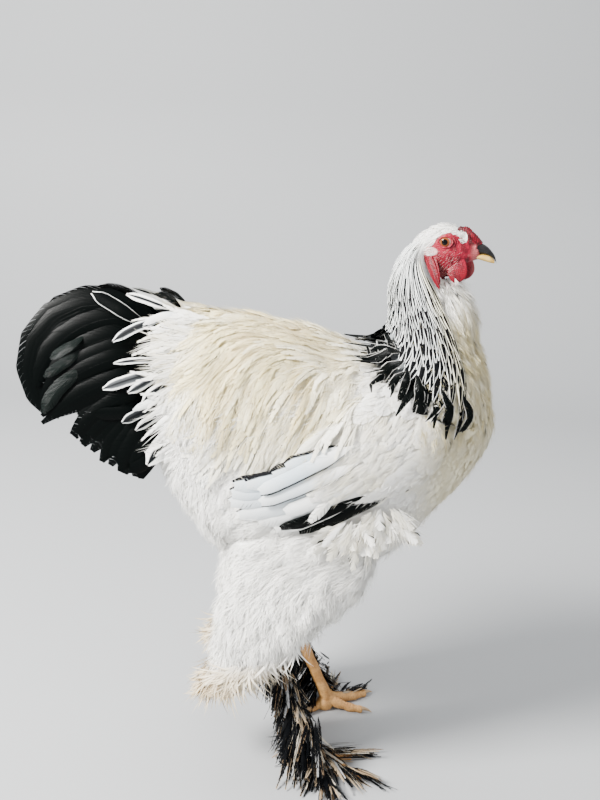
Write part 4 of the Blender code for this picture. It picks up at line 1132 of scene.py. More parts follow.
def add_breast_tufts(coat, side):
    loose = kinds(6, vane_shape, 15, fringe, 0.28, 0.50, 0.45, cup=0.12, quads=0, split=0.12)
    curls = kinds(8, tuft_shape, 12, 0.60, 0.026, bend=1.1)
    for at_x, at_z, spread_x, spread_z, n, fan, reach in BREAST_TUFTS:
        share = rng.random(n)
        x = at_x + spread_x * (1 - 2 * share) + rng.normal(size=n) * 0.005
        z = at_z + rng.normal(size=n) * spread_z
        roots = vec(x, side * (torso_side(x, z) + 0.003), z)
        angle = np.radians(between(fan, share) + rng.normal(size=n) * 10)
        ways = strayed(vec(np.cos(angle), side * 0.18, np.sin(angle)), 0.10)
        over = strayed(vec(0.35 + 0 * x, side, 0.15), 0.25)
        length = reach * rng.uniform(0.50, 1.0, n)
        paths = straight_paths(roots, ways, length, rng.uniform(-0.010, 0.016, n), over)
        tint = mix(WHITE, CREAM, 0.4 * rng.random(n))
        vaned = rng.random(n) < 0.40
        half = np.full(n, 0.015)
        half[vaned] = rng.uniform(0.0045, 0.0080, vaned.sum())
        coat.add(loose, paths, half, tint, 0, roots, soft=0.3, where=vaned)
        coat.add(curls, paths, half, tint, 0, roots, where=~vaned)


def make_tufts():
    """Loose tufts below the breast and the wispy hem of the thighs behind the hocks."""
    down = kinds(8, tuft_shape, 16, 0.50, 0.030, bend=0.5)
    locks = kinds(12, tuft_shape, 5, 0.40, 0.080, bend=1.7)
    coat = Coat("coat_tufts")
    for side in SIDES.values():
        add_breast_tufts(coat, side)
        for shapes, n, half, extra in ((down, 300, 0.015, 0.0), (locks, 260, 0.017, 0.010)):
            along = rng.uniform(0.68, 0.985, n)
            angle = rng.uniform(0, 2 * math.pi, n)
            roots = thigh_point(along, angle, 0.006, side)
            behind = np.clip(-np.cos(angle), 0, 1)
            out = vec(np.cos(angle), side * np.sin(angle), 0)
            ways = strayed(vec(-0.22 - 0.50 * behind, side * 0.02, -1.0) + out * 0.14, 0.20)
            length = rng.uniform(0.018, 0.030, n) + 0.010 * behind + extra
            sag = rng.uniform(-0.006, 0.004, n)
            path, normals = straight_paths(roots, ways, length, sag, strayed(out, 0.25))
            stain = smooth(0.185, 0.135, path[..., 2]) * smooth(0.02, -0.03, path[..., 0])
            stain = stain * (0.40 + 0.60 * rng.random(n))[:, None] * np.linspace(0.35, 1.0, path.shape[1])
            tint = mix(mix(body_tint(roots)[:, None], STRAW, 0.9 * stain), STAIN * 0.6, 0.7 * stain**2)
            coat.add(shapes, (path, normals), half, tint, 0, roots)
    return coat


def make_saddle(tree):
    """Long soft feathers from the back that fall over the flanks."""
    shapes = kinds(6, vane_shape, 12, lance, 0.08, 0.32, 0.30, cup=0.04, quads=0, split=0.1)
    strands = kinds(8, tuft_shape, 12, 0.20, 0.026, bend=0.7)
    coat = Coat("coat_saddle")
    roots = []
    for side in SIDES.values():
        for x in np.arange(-0.178, 0.050, 0.0052):
            for low in np.arange(2.0, 74.0, 4.2):
                if x > -0.02 and low > 58:
                    continue
                jitter = rng.normal(size=2)
                angle = math.pi / 2 - side * math.radians(low + jitter[0] * 1.6)
                roots.append(torso_point(np.array(x + jitter[1] * 0.0018), np.array(angle), 0.005))
    roots = np.array(roots)
    n = len(roots)

    def lowness(p):
        """Angle from the top of the back."""
        return np.degrees(np.arctan2(np.abs(p[:, 1]), p[:, 2] - 0.42))

    def heading(p, over):
        rear = smooth(-0.125, -0.165, p[:, 0])
        fall = smooth(8, 46, lowness(p)) * (1 - 0.72 * rear)
        apart = np.sign(p[:, 1]) * (0.45 - 0.2 * fall) * (1 - 0.6 * rear)
        return wavy(vec(-1.0 + 0.62 * fall, apart, -0.95 * fall - 0.12 * rear), p, 0.06, 0.42, 45.0, 71)

    length = (0.066 + 0.028 * smooth(10, 50, lowness(roots))) * rng.uniform(0.8, 1.15, n)
    length = length * (1 - 0.35 * smooth(-0.01, 0.05, roots[:, 0]))
    paths = lie_paths(tree, roots, heading, length, 0.0085 + 0.0030 * rng.random(n), steps=6, hold=0.9)
    tint = mix(body_tint(roots), CREAM, 0.35 * rng.random(n))
    dark = np.where(rng.random(n) < 0.020, 0.14, 0.0) * (roots[:, 2] > 0.5)
    wispy = rng.random(n) < 0.62
    half = rng.uniform(0.0050, 0.0072, n)
    coat.add(shapes, paths, half, tint, dark, roots, soft=0.25, where=~wispy)
    coat.add(strands, paths, 0.0150, tint, dark, roots, soft=0.3, where=wispy)
    return coat


# Neck

def make_hackle():
    """Long pointed feathers in columns down the neck, striped black towards the shoulders."""
    shapes = kinds(6, vane_shape, 8, strap, 0.08, 0.05, 0.06, cup=0.16)
    coat = Coat("coat_hackle")
    gap = (math.pi - HACKLE_FRONT) / HACKLE_COLUMNS
    t = np.linspace(0, 1, 7)[None]
    for tier in range(HACKLE_TIERS):
        share = tier / (HACKLE_TIERS - 1)
        turn = HACKLE_FRONT + gap * (np.arange(HACKLE_COLUMNS) + 0.5)
        turn = turn[turn > math.radians(126 - 56 * float(smooth(0.0, 0.34, share)))]
        if tier < 3:
            turn = turn[tier % 2::2]
        turn = np.concatenate([turn, 2 * math.pi - turn])
        n = len(turn)
        turn = turn + rng.normal(size=n) * gap * 0.16
        to_front = np.degrees(np.minimum(turn, 2 * math.pi - turn))
        start = 0.50 * share * (1 - 0.30 * smooth(122, 158, to_front))
        reach = 0.200 * rng.uniform(0.86, 1.12, n)
        along = start[:, None] + reach[:, None] * t
        angle = turn[:, None] + rng.normal(size=n)[:, None] * gap * 0.35 * t * t
        normals = tube_normal(HACKLE_SHEET, along, angle)
        lift = -0.004 + 0.0080 * t**0.6 + 0.0012 * rng.random(n)[:, None] * t
        path = tube_point(HACKLE_SHEET, along, angle) + normals * lift[..., None]
        ring = rows_at(HACKLE_SHEET, 0.50 * share + 0.13)
        half = 0.68 * gap * (ring[2] + ring[3]) / 2 * rng.uniform(0.85, 1.15, n)
        front = smooth(100, 76, to_front)
        dark = 0.26 + 0.48 * smooth(0.00, 0.50, share) + rng.normal(size=n) * 0.08
        dark = np.clip(dark - 0.20 * front * smooth(0.75, 0.4, share), 0.0, 0.84)
        tint = mix(WHITE * (0.93, 0.97, 1.0), CREAM, 0.6 * front)
        place = vec(0.02 + 0.96 * turn / (2 * math.pi), 0.02 + 0.9 * share)
        coat.add(shapes, (path, normals), half, tint, dark, place, soft=0.7)
    return coat


def make_cape():
    """Large black pointed feathers that show below the hackle and trail over the back."""
    shapes = kinds(5, vane_shape, 16, spear, 0.10, 0.02, 0.03, cup=0.16, quads=2, split=0.08)
    coat = Coat("coat_cape")
    t = np.linspace(0, 1, 8)[None]
    for tier, (start, n, reach, wide) in enumerate(CAPE_TIERS):
        turn = HACKLE_FRONT + (2 * math.pi - 2 * HACKLE_FRONT) * (np.arange(n) + 0.5 * tier) / n
        turn = turn + rng.normal(size=n) * 0.07
        long = reach * rng.uniform(0.70, 1.12, n)
        sway = turn[:, None] + rng.normal(size=n)[:, None] * 0.16 * t * t
        along = start + long[:, None] * t
        normal = tube_normal(HACKLE_SHEET, along, sway)
        path = tube_point(HACKLE_SHEET, along, sway) + normal * (-0.004 + 0.0064 * t**0.6)[..., None]
        behind = smooth(-0.35, -0.75, np.cos(turn))[:, None]
        root = tube_point(HACKLE_SHEET, 0.56 + 0 * turn, turn)[:, None] + np.array([0.016, 0, 0])
        yaw = np.sin(turn) * 0.026 + rng.normal(size=n) * 0.010
        out = root + vec(-0.066 * t, yaw[:, None] * t, 0) * rng.uniform(0.45, 1.15, n)[:, None, None]
        over_back = 0.0045 + 0.003 * np.sin(math.pi * t) + 0.006 * (1 - t) ** 2
        out[..., 2] = torso_top(out[..., 0], out[..., 1]) + over_back
        path = mix(path, out, behind)
        normals = strayed(mix(normal, normal * 0.2 + UP * 1.2, behind), 0.22)
        place = vec(0.02 + 0.96 * turn / (2 * math.pi), 0.3 + 0.3 * tier)
        dark = np.where(rng.random(n) < 0.35, 0.90, 3.0)
        half = wide * rng.uniform(0.8, 1.15, n)
        coat.add(shapes, (path, normals), half, WHITE * 0.7, dark, place, soft=0.5)
    return coat


def make_shoulder_feathers(tree):
    """A few large black feathers that hang from the hackle over each shoulder."""
    shapes = kinds(4, vane_shape, 18, spear, 0.10, 0.02, 0.03, cup=0.14, quads=2, split=0.06)
    coat = Coat("coat_shoulder")
    n, steps = len(SHOULDER_FEATHERS), 8
    rows = SHOULDER_FEATHERS[:, 0:2], SHOULDER_FEATHERS[:, 2:4]
    flat = bowed(rows, SHOULDER_FEATHERS[:, 5], steps)
    for side in SIDES.values():
        path, normals = np.zeros((2, n, steps, 3))
        for i in range(n):
            for j, (x, z) in enumerate(flat[i]):
                spot, normal, _, _ = tree.ray_cast(Vector((x, side * 0.3, z)), Vector((0, -side, 0)))
                if spot is None:
                    spot, normal, _, _ = tree.find_nearest(Vector((x, side * 0.06, z)))
                lift = 0.0125 + 0.0030 * j / (steps - 1) + 0.0003 * i
                path[i, j] = np.array(spot) + np.array(normal) * lift
                normals[i, j] = unit(np.array(normal) + np.array([0, 1.3 * side, 0]))
        coat.add(shapes, (path, normals), SHOULDER_FEATHERS[:, 4], WHITE * 0.6, 0.93, path[:, 0], soft=0.5)
    return coat


# Wing

def wing_height(along, across):
    """Lift of the folded wing's own surface off the flank."""
    swell = wing_swell(along / WING_DOME_END)
    offset = np.clip((across - wing_middle(along)) / np.maximum(WING_DOME_SHARE * swell, 0.05), -1, 1)
    dome = np.sqrt(1 - offset**2) * swell
    return np.maximum(-0.002 + WING_THICK * dome, 0.0075 * smooth(0.40, 0.62, along))


def wing_paths(side, starts, ends, lifts, steps=7, ride=0.0):
    """Paths over the wing from starts to ends, each along and across, with their normals."""
    t = np.linspace(0, 1, steps)[None]
    along, across = np.moveaxis(starts[:, None] + (ends - starts)[:, None] * t[..., None], -1, 0)
    start, end = (np.broadcast_to(v, len(starts))[:, None] for v in lifts)
    lift = start + (end - start) * t**0.8

    def here(a, c):
        return wing_point(a, c, lift + ride * wing_height(a, c), side)

    path = here(along, across)
    over = unit(np.cross(here(along + 0.02, across) - path, here(along, across + 0.05) - path))
    return path, np.where(over[..., 1:2] * side > 0, over, -over)


def make_quills(side, name):
    """The grey secondaries with dark edges, in two layers."""
    shapes = kinds(6, vane_shape, 26, blade, 0.16, 0.05, 0.05, cup=0.05, quads=2, split=0.12)
    coat = Coat(f"coat_quills_{name}")
    n = len(SECONDARIES)
    k = np.arange(n)
    low = k < LOWER_SECONDARIES
    rank = np.where(low, k, 3.0 * (k - LOWER_SECONDARIES) + 2.5)
    starts = vec(0.42, -0.58 + 0.11 * rank)
    tips = SECONDARIES[:, :2] + rng.normal(size=(n, 2)) * (0.020, 0.050)
    lift = 0.0030 + 0.0009 * rank + 0.0022 * ~low
    path, normals = wing_paths(side, starts, tips, (lift, lift + 0.0012))
    fade = np.linspace(0, 1, path.shape[1])
    grey = SECONDARIES[:, 3:] * (1 - 0.55 * smooth(0.70, 1.0, fade)) * smooth(0.15, 0.55, fade)
    half, tint = np.where(low, 0.0112, 0.0090), mix(WHITE, SMOKE, grey)
    coat.add(shapes, (path, normals), half, tint, 0, path[:, 0], soft=0.4, rim=SECONDARIES[:, 2] * -side)
    return coat


def make_wing_coverts(side, name):
    """Small feathers in rows over the folded wing, each with a silky strand."""
    small = kinds(6, vane_shape, 8, fringe, 0.20, 0.22, 0.16, cup=0.08)
    strands = kinds(8, tuft_shape, 10, 0.30, 0.040, bend=0.5)
    coat = Coat(f"coat_wing_{name}")
    starts, ends, wide = [], [], []
    for row, along in enumerate(np.arange(0.53, -0.02, -0.030)):
        swell = 0.88 * float(wing_swell(max(along, 0.012) / WING_DOME_END))
        count = max(int(2 * swell * WING_HALF / 0.0070), 2)
        long = 0.085 + 0.075 * float(smooth(0.15, 0.5, along))
        for j in range(count):
            share = (j + 0.5 + 0.5 * (row % 2)) / count
            if along > 0.30 and share < 0.26:
                continue
            spot = np.array([along, wing_middle(along) + swell * (2 * share - 1)])
            spot = spot + rng.normal(size=2) * (0.008, 0.04)
            turn = -0.10 * long / 0.1 * (1 + 0.8 * share) + rng.normal() * 0.07
            starts.append(spot)
            ends.append(spot + np.array([long * rng.uniform(0.80, 1.15), turn * 1.2]))
            wide.append(0.0042 if along < 0.25 else 0.0062)
    starts, ends, wide = np.array(starts), np.array(ends), np.array(wide)
    n = len(starts)
    lift = 0.0020 + 0.0014 * rng.random(n)
    path, normals = wing_paths(side, starts, ends, (-0.001, lift), steps=5, ride=1.0)
    off = starts[:, 1] - wing_middle(starts[:, 0])
    low_edge = smooth(-0.35, -0.75, off) * smooth(0.30, 0.10, starts[:, 0])
    tint = mix(WHITE, CREAM, 0.45 * wobble(path[:, 0], 70.0, 17))
    dark = np.where(rng.random(n) < 0.5 * low_edge, 0.35, 0.0)
    coat.add(small, (path, normals), wide * rng.uniform(0.85, 1.2, n), tint, dark, path[:, 0], soft=0.4)
    stranded = rng.random(n) < STRANDED_SHARE
    starts, ends = (v[stranded] + rng.normal(size=(stranded.sum(), 2)) * 0.02 for v in (starts, ends))
    lift = 0.0034 + 0.0018 * rng.random(len(starts))
    path, normals = wing_paths(side, starts, ends, (0.0, lift), steps=5, ride=1.0)
    coat.add(strands, (path, normals), 0.0095, tint[stranded], 0, path[:, 0], soft=0.3)
    return coat


def make_primaries(side, name):
    shapes = kinds(2, vane_shape, 30, blade, 0.14, 0.05, 0.04, cup=0.08, quads=2)
    coat = Coat(f"coat_primaries_{name}")
    k = np.arange(len(PRIMARIES))
    lifts = 0.0040 + 0.0005 * k, 0.0058 + 0.0006 * k
    path, normals = wing_paths(side, PRIMARIES[:, 0:2], PRIMARIES[:, 2:4], lifts)
    coat.add(shapes, (path, normals), PRIMARIES[:, 5], WHITE, PRIMARIES[:, 4], path[:, 0], soft=0.5)
    return coat


# Tail

def on_tent(flat, side, spread, layer, tuck):
    """Points seen from the side as x and z, laid on one slope of the tail's tent, with their normals."""
    x, z = flat[..., 0], flat[..., 1]
    fall = np.exp(-np.maximum(TAIL_RIDGE_Z - z, 0.0) / TAIL_FALL)
    width = np.broadcast_to(spread, len(flat))[:, None] * TAIL_SPREAD
    out = 0.005 + layer[:, None] + width * (1 - fall)
    s = np.linspace(0, 1, x.shape[1])[None]
    path = vec(x, side * out * (1 - tuck + tuck * np.minimum(s * 3.5, 1)), z)
    return path, vec(0.10, side, width / TAIL_FALL * fall)


def tail_paths(side, start, rise, turn, length, late, spread, layer, steps=9, tuck=0.65):
    """Tail feathers that leave start at a rise in degrees and turn down."""
    fine = 24
    flat = np.zeros((len(start), fine + 1, 2))
    flat[:, 0] = start
    for i in range(fine):
        heading = np.radians(rise - turn * ((i + 0.5) / fine) ** late)
        flat[:, i + 1] = flat[:, i] + (length / fine)[:, None] * vec(-np.cos(heading), np.sin(heading))
    chosen = np.round(np.linspace(0, 1, steps) * fine).astype(int)
    return on_tent(flat[:, chosen], side, spread, layer, tuck)


def make_tail(side, name):
    """Main feathers inmost, arched sickles over them, and the ragged fan below."""
    broad = kinds(4, vane_shape, 34, sickle, 0.10, 0.015, 0.015, cup=0.12, quads=2, split=0.015)
    short = kinds(5, vane_shape, 24, blunt, 0.14, 0.04, 0.05, cup=0.12, quads=2, split=0.05)
    coat = Coat(f"coat_tail_{name}")
    # Shapes, count, half width, stray, lateness of the turn; then first and last of: height of the root,
    # rise and turn in degrees, length, spread of the tent, layer.
    groups = (
        (short, 5, 0.0160, 1.4, 1.0,
         (0.552, 0.505), (20, -14), (14, 14), (0.120, 0.122), (0.45, 0.50), (0.0, 0.001)),
        (broad, 4, 0.0150, 0.4, 1.23,
         (0.555, 0.548), (44, 37), (193, 182), (0.298, 0.262), (0.62, 0.68), (0.0018, 0.0036)),
        (short, 6, 0.0160, 1.4, 1.1,
         (0.560, 0.520), (26, 0), (116, 58), (0.204, 0.158), (0.68, 0.83), (0.0030, 0.0072)),
        (broad, 4, 0.0125, 1.4, 1.2,
         (0.545, 0.515), (-2, -22), (52, 36), (0.176, 0.160), (0.86, 0.90), (0.0080, 0.0098)),
        (short, 16, 0.0135, 0.8, 1.0,
         (0.512, 0.452), (-6, -74), (34, 10), (0.142, 0.076), (0.90, 0.90), (0.0100, 0.0125)),
    )
    for shapes, n, half, stray, late, height, rise, turn, length, spread, layer in groups:
        s = np.linspace(0, 1, n)
        rises = between(rise, s) + rng.normal(size=n) * 2.0 * stray
        turns = between(turn, s) + rng.normal(size=n) * 6 * stray
        lengths = between(length, s) * rng.uniform(0.98, 1.02, n)
        layers = between(layer, rng.permutation(n) / (n - 1))
        start = vec(-0.196 - 0.004 * s, between(height, s))
        path, normals = tail_paths(side, start, rises, turns, lengths, late, between(spread, s), layers)
        coat.add(shapes, (path, normals), half, WHITE, ALL_DARK, path[:, 0], soft=0.4)
    return coat


def make_tail_coverts(side, name, rows, part, layer):
    """Feathers placed one by one over the tail: grey with white edges at its root, or glossier with a lighter
    green colour that is painted sheen.
    """
    split = 0.35 if part == "gloss" else 0.12
    shapes = kinds(5, vane_shape, 17, leaf, 0.18, 0.05, 0.05, cup=0.20, quads=2, split=split)
    coat = Coat(f"coat_tail_{part}_{name}")
    n = len(rows)
    flat = bowed((rows[:, 2:4], rows[:, 0:2]), rng.uniform(-0.04, 0.14, n), 7)
    path, normals = on_tent(flat, side, 0.92, layer + 0.0004 * np.arange(n), 0.3)
    normals = strayed(normals, 0.14)
    tint = mix(WHITE, SMOKE, 0.3 * rng.random(n))
    coat.add(shapes, (path, normals), rows[:, 4], tint, rows[:, 5], path[:, 0], soft=0.45)
    return coat


def make_rump(side, name):
    """Loose white feathers and curled strands that run from the saddle over the root of the tail."""
    loose = kinds(5, vane_shape, 9, lance, 0.14, 0.30, 0.25, cup=0.08, quads=0, split=0.2)
    strands = kinds(8, tuft_shape, 8, 0.34, 0.040, bend=0.9)
    coat = Coat(f"coat_rump_{name}")
    for shapes, n, half in ((loose, 100, 0.0042), (strands, 120, 0.0110)):
        s = rng.random(n)
        start = vec(-0.142 - 0.026 * rng.random(n) + 0.018 * smooth(0.7, 1.0, s), 0.580 - 0.172 * s)
        rise = 2 - 50 * s + rng.normal(size=n) * 10 * smooth(0.0, 0.15, s)
        turn = 10 + rng.normal(size=n) * 22
        length = 0.024 + 0.052 * rng.random(n) ** 1.6
        layer = 0.0195 + 0.0060 * rng.random(n) - 0.010 * smooth(0.25, 0.0, s)
        path, normals = tail_paths(side, start, rise, turn, length, 1.0, 0.92, layer, steps=6, tuck=0.0)
        normals = strayed(normals, 0.2)
        tint = mix(WHITE, CREAM, 0.35 * rng.random(n) * smooth(0.6, 0.2, s))
        coat.add(shapes, (path, normals), half * rng.uniform(0.8, 1.2, n), tint, 0, path[:, 0], soft=0.4)
    return coat


# Legs

def toe_line(side, ankle, turn, length, radius, count):
    """Centre line of a toe from the ankle to the root of its claw, arched and then along the floor."""
    way = np.array([math.cos(side * turn), math.sin(side * turn), 0.0])
    s = np.linspace(0, 1, count)
    height = 0.0150 * (1 - s) ** 2.6 + 0.80 * radius * (1 - 0.30 * s)
    return ankle * (1, 1, 0) + way * length * s[:, None] + UP * height[:, None], way


def ring_tube(path, radii, around, scutes=0, depth=0.0):
    """Rings of points round a path; the upper side carries a row of overlapping scutes."""
    along = unit(np.gradient(path, axis=0))
    reference = np.where(np.abs(along[:, 2:3]) < 0.9, UP, (-1.0, 0, 0))
    across = unit(np.cross(along, reference))
    over = np.cross(across, along)
    angle = circle(around)
    s = np.linspace(0, 1, len(path))[:, None]
    top = np.clip(np.sin(angle)[None] * 1.6 + 0.35, 0, 1)
    plate = ((s * scutes) % 1.0) ** 2
    pads = 0.5 + 0.5 * np.cos(2 * math.pi * s * max(scutes / 4, 1))
    size = radii[:, None] + depth * plate * top + depth * 0.9 * pads * (1 - top)
    spokes = np.cos(angle)[None, :, None] * across[:, None] + np.sin(angle)[None, :, None] * over[:, None]
    return path[:, None] + size[..., None] * spokes


def leg_skin(side, name):
    """Shank, foot and toes with their scutes as one skin."""
    hock, ankle, turn = LEGS[name]
    solid = Solid()
    s = np.linspace(-0.10, 1.04, 90)
    radii = np.interp(s, (-0.1, 0, 0.3, 0.6, 0.85, 1.04), (0.0115, 0.0100, 0.0080, 0.0074, 0.0076, 0.0088))
    solid.add_grid(ring_tube(between((hock, ankle), s[:, None]), radii, 28, 22, 0.0008))
    for heading, length, radius in TOES.values():
        rows = 70 if length > 0.03 else 30
        line, way = toe_line(side, ankle, turn + math.radians(heading), length, radius, rows)
        s = np.linspace(0, 1, rows)
        joints = 0.07 * np.cos(2 * math.pi * (s * (3 if length > 0.05 else 2) - 0.1))
        radii = radius * (1 - 0.32 * s) * (1 + joints)
        line = np.concatenate([line, line[-1] + (line[-1] - line[-2]) * np.array([[1.5], [2.6]])])
        radii = np.concatenate([radii, radii[-1] * np.array([0.8, 0.45])])
        solid.add_grid(ring_tube(line, radii, 22, int(length / 0.0042), 0.0008))
    solid.add_ball(ankle * (1, 1, 0) + UP * 0.0085, (0.0122, 0.0117, 0.0122), 24, 14)
    solid.points = [np.maximum(p, (-np.inf, -np.inf, 0.0)) for p in solid.points]
    return solid.fused(0.0009, 1)


def make_claws(side, name, horn):
    _, ankle, turn = LEGS[name]
    for toe, (heading, length, radius) in TOES.items():
        line, way = toe_line(side, ankle, turn + math.radians(heading), length, radius, 12)
        s = np.linspace(0, 1, 16)
        height = 0.0024 * np.sin(math.pi * s) + 0.0010 - 0.0040 * s
        path = line[-1] - way * 0.003 + way * 0.019 * s[:, None] + UP * height[:, None]
        radii = 0.0033 * (1 - s**1.5) + 0.0002
        path[:, 2] = np.maximum(path[:, 2], radii + 0.0002)
        points, faces = ring_tube(path, radii, 14).reshape(-1, 3), triangulated(grid_faces(16, 14))
        piece(f"claw_{toe}_{name}_horn", points, faces, horn, [f"claw_{toe}_{name}"])


def leg_tones(n, black):
    """Base colours and dark shares of leg feathers, with black ones by their share."""
    tint = LEG_TONES[rng.integers(0, len(LEG_TONES), n)] * rng.uniform(0.8, 1.1, (n, 1))
    is_black = rng.random(n) < black
    blacks = rng.choice([0.8, 1.5, ALL_DARK, ALL_DARK], n)
    return tint, np.where(is_black, blacks, np.where(rng.random(n) < 0.5, 0.30, 0.0))


def make_leg_feathers(side, name):
    """Stiff feathers down the outer side of the shank, and fans over the outer toes."""
    stiff = kinds(6, vane_shape, 13, lance, 0.18, 0.35, 0.30, cup=0.15, quads=0, split=0.2)
    thin = kinds(6, vane_shape, 15, lance, 0.14, 0.30, 0.25, cup=0.12, quads=0, split=0.2)
    wisps = kinds(6, tuft_shape, 6, 0.30, 0.050, bend=0.5)
    coat = Coat(f"coat_leg_{name}")
    hock, ankle, turn = LEGS[name]
    # The last group hangs straighter and longer than the others.
    for shapes, n, half, low, hang in (
        (stiff, 300, 0.0034, -55, 0), (wisps, 150, 0.0110, -55, 0), (stiff, 170, 0.0032, 35, 1),
    ):
        share = rng.random(n) ** 0.9
        around = np.radians(rng.uniform(low, 140, n))
        out = unit(vec(-np.sin(around) * 1.1 + 0.10, side * np.cos(around), 0))
        puff = 0.006 + 0.012 * smooth(0.45, 0.0, share) + 0.004 * rng.random(n)
        roots = between((hock, ankle), (-0.12 + 1.04 * share)[:, None]) + out * puff[:, None]
        flare = np.radians(6 + 50 * share**2.2 + rng.normal(size=n) * 7) * (1 - 0.75 * hang)
        down = unit(vec(-0.02 + 0.30 * (around < 0.3), 0, -1.0))
        ways = strayed(down * np.cos(flare)[:, None] + out * np.sin(flare)[:, None], 0.08)
        length = rng.uniform(0.026, 0.048, n) + 0.010 * smooth(0.6, 1.0, share) + 0.020 * hang
        over = strayed(out + UP * np.sin(flare)[:, None], 0.25)
        paths = straight_paths(roots, ways, length, rng.uniform(-0.004, 0.014, n), over)
        tint, dark = leg_tones(n, np.where(around > 0.45, 0.88, 0.50))
        place = vec(0.1 + 0.8 * (around + 1.1) / 3.6, 0.1 + 0.7 * share)
        coat.add(shapes, paths, half * rng.uniform(0.6, 1.25, n), tint, dark, place, soft=0.5)
    n = FOOT_FANS[name]
    x, y, z = rng.uniform(-0.032, 0.006, n), side * rng.uniform(0.002, 0.016, n), rng.uniform(0.008, 0.055, n)
    roots = ankle + vec(x, y, z)
    ways = unit(vec(rng.uniform(-0.30, 0.25, n), side, rng.uniform(-0.85, -0.20, n)))
    over = unit(vec(rng.normal(size=n) * 0.3, side * 0.4, 1))
    paths = straight_paths(roots, ways, rng.uniform(0.040, 0.074, n), rng.uniform(-0.004, 0.012, n), over)
    tint, dark = leg_tones(n, 0.85)
    place = vec(0.1 + 0.8 * rng.random(n), 0.85)
    coat.add(stiff, paths, rng.uniform(0.0018, 0.0036, n), tint, dark, place, soft=0.5)
    for toe, first, n, reach in FOOT_SPRAYS[name]:
        heading, long, radius = TOES[toe]
        toe_turn = turn + math.radians(heading)
        line, _ = toe_line(side, ankle, toe_turn, long, radius, 30)
        s = first + (0.92 - first) * rng.random(n)
        roots = line[np.round(s * 29).astype(int)] + UP * radius * 0.65 + rng.normal(size=(n, 3)) * 0.002
        spray = side * (toe_turn + np.radians(2 + 50 * (0.9 - s) * (toe != "inner") + rng.normal(size=n) * 9))
        ways = vec(np.cos(spray), np.sin(spray), rng.uniform(-0.12, 0.22, n))
        over = strayed(np.tile(UP, (n, 1)), 0.3)
        length = reach * rng.uniform(0.6, 1.15, n)
        paths = straight_paths(roots, ways, length, rng.uniform(0.002, 0.014, n), over)
        tint, dark = leg_tones(n, 0.62)
        coat.add(thin, paths, rng.uniform(0.0016, 0.0040, n), tint, dark, vec(0.1 + 0.8 * s, 0.9), soft=0.4)
    return coat


# Head

def flap_grid(top, bottom, half_width, thick, side, fold, swell_at):
    """Rings of a fleshy flap hanging between two points, folded across its width and bowed outwards."""
    top, bottom = np.asarray(top, float), np.asarray(bottom, float)
    across = unit(np.cross(bottom - top, np.array([0, 1.0, 0])))
    s = np.linspace(0.02, 0.985, 40)[:, None]
    swell = np.sin(math.pi * s ** (math.log(0.5) / math.log(swell_at))) ** 0.65
    w, t = np.cos(circle(40))[None], np.sin(circle(40))[None]
    grid = between((top, bottom), s[..., None]) + across * (half_width * swell * w)[..., None]
    bulge = thick * (0.55 + 0.45 * swell) * t + fold * (w * w - 0.5) + 0.0025 * np.sin(math.pi * s)
    return grid + vec(0, side * bulge, 0)


def add_eyelids(solid, side):
    """Three almond-shaped ridges round the eye: ring radius, thickness, lift off the eye, drop."""
    middle = mirrored(EYE_MIDDLE, side)
    turn, section = circle(48), circle(10)[None, :, None]
    for radius, thick, lift, drop in (
        (0.0068, 0.00115, 0.0026, 0.0), (0.0092, 0.0009, 0.0012, 0.0004), (0.0116, 0.0008, -0.0006, 0.001),
    ):
        pinch = np.abs(np.cos(turn))
        long = radius * 1.08 * (1 + 0.16 * pinch**3)
        spot = vec(long * np.cos(turn), side * (lift - 0.0009 * pinch), radius * 0.95 * np.sin(turn) - drop)
        outward = np.array([0, side, 0])
        tube = np.cos(section) * unit(spot)[:, None] + 1.3 * np.sin(section) * outward
        solid.add_grid((spot + middle)[:, None] + thick * tube, ring=True)


def add_comb(solid):
    """A low wedge on the brow with five rows of small points."""
    rows = (
        (0.012, 0.0180, 0.0050), (0.022, 0.0170, 0.0080), (0.031, 0.0105, 0.0095), (0.0410, 0.0015, 0.0060),
    )
    corners = ((-0.8, 1), (0.8, 1), (1, -1), (-1, -1))
    solid.add_grid(np.array([
        [(x + 0.0032 * up, y * wide, z + 0.0030 * up) for y, up in corners] for x, z, wide in rows
    ]))
    # Rows of points: count, first and last x, drop below the top, offset to the side, height.
    for row, (count, first, last, drop, beside, tall) in enumerate((
        (11, 0.0155, 0.0432, 0.0, 0.0, 0.0042),
        (9, 0.0175, 0.0405, 0.0030, 0.0052, 0.0036),
        (6, 0.0262, 0.0385, 0.0080, 0.0088, 0.0036),
    )):
        for k in range(count):
            x = first + (last - first) * (k + 0.5) / count
            top = float(np.interp(x, *COMB_TOP.T)) - drop + 0.0006 * math.sin(5.0 * k + row)
            for side in (1, -1) if row else (0,):
                place = (x + 0.0004 * side, side * beside, top - tall)
                solid.add_ball(place, (0.00155, 0.0022, tall), 12, 8)


def ellipse_rings(rows, count, around, power, ends=(0, 1)):
    """Rings along rows of x, top, bottom, half width."""
    rows = rows_at(rows, np.linspace(*ends, count))[:, None]
    middle, tall, half = middle_and_halves(rows)
    c, s = superellipse(circle(around)[None], power)
    return vec(rows[..., 0], half * c, middle + tall * s)


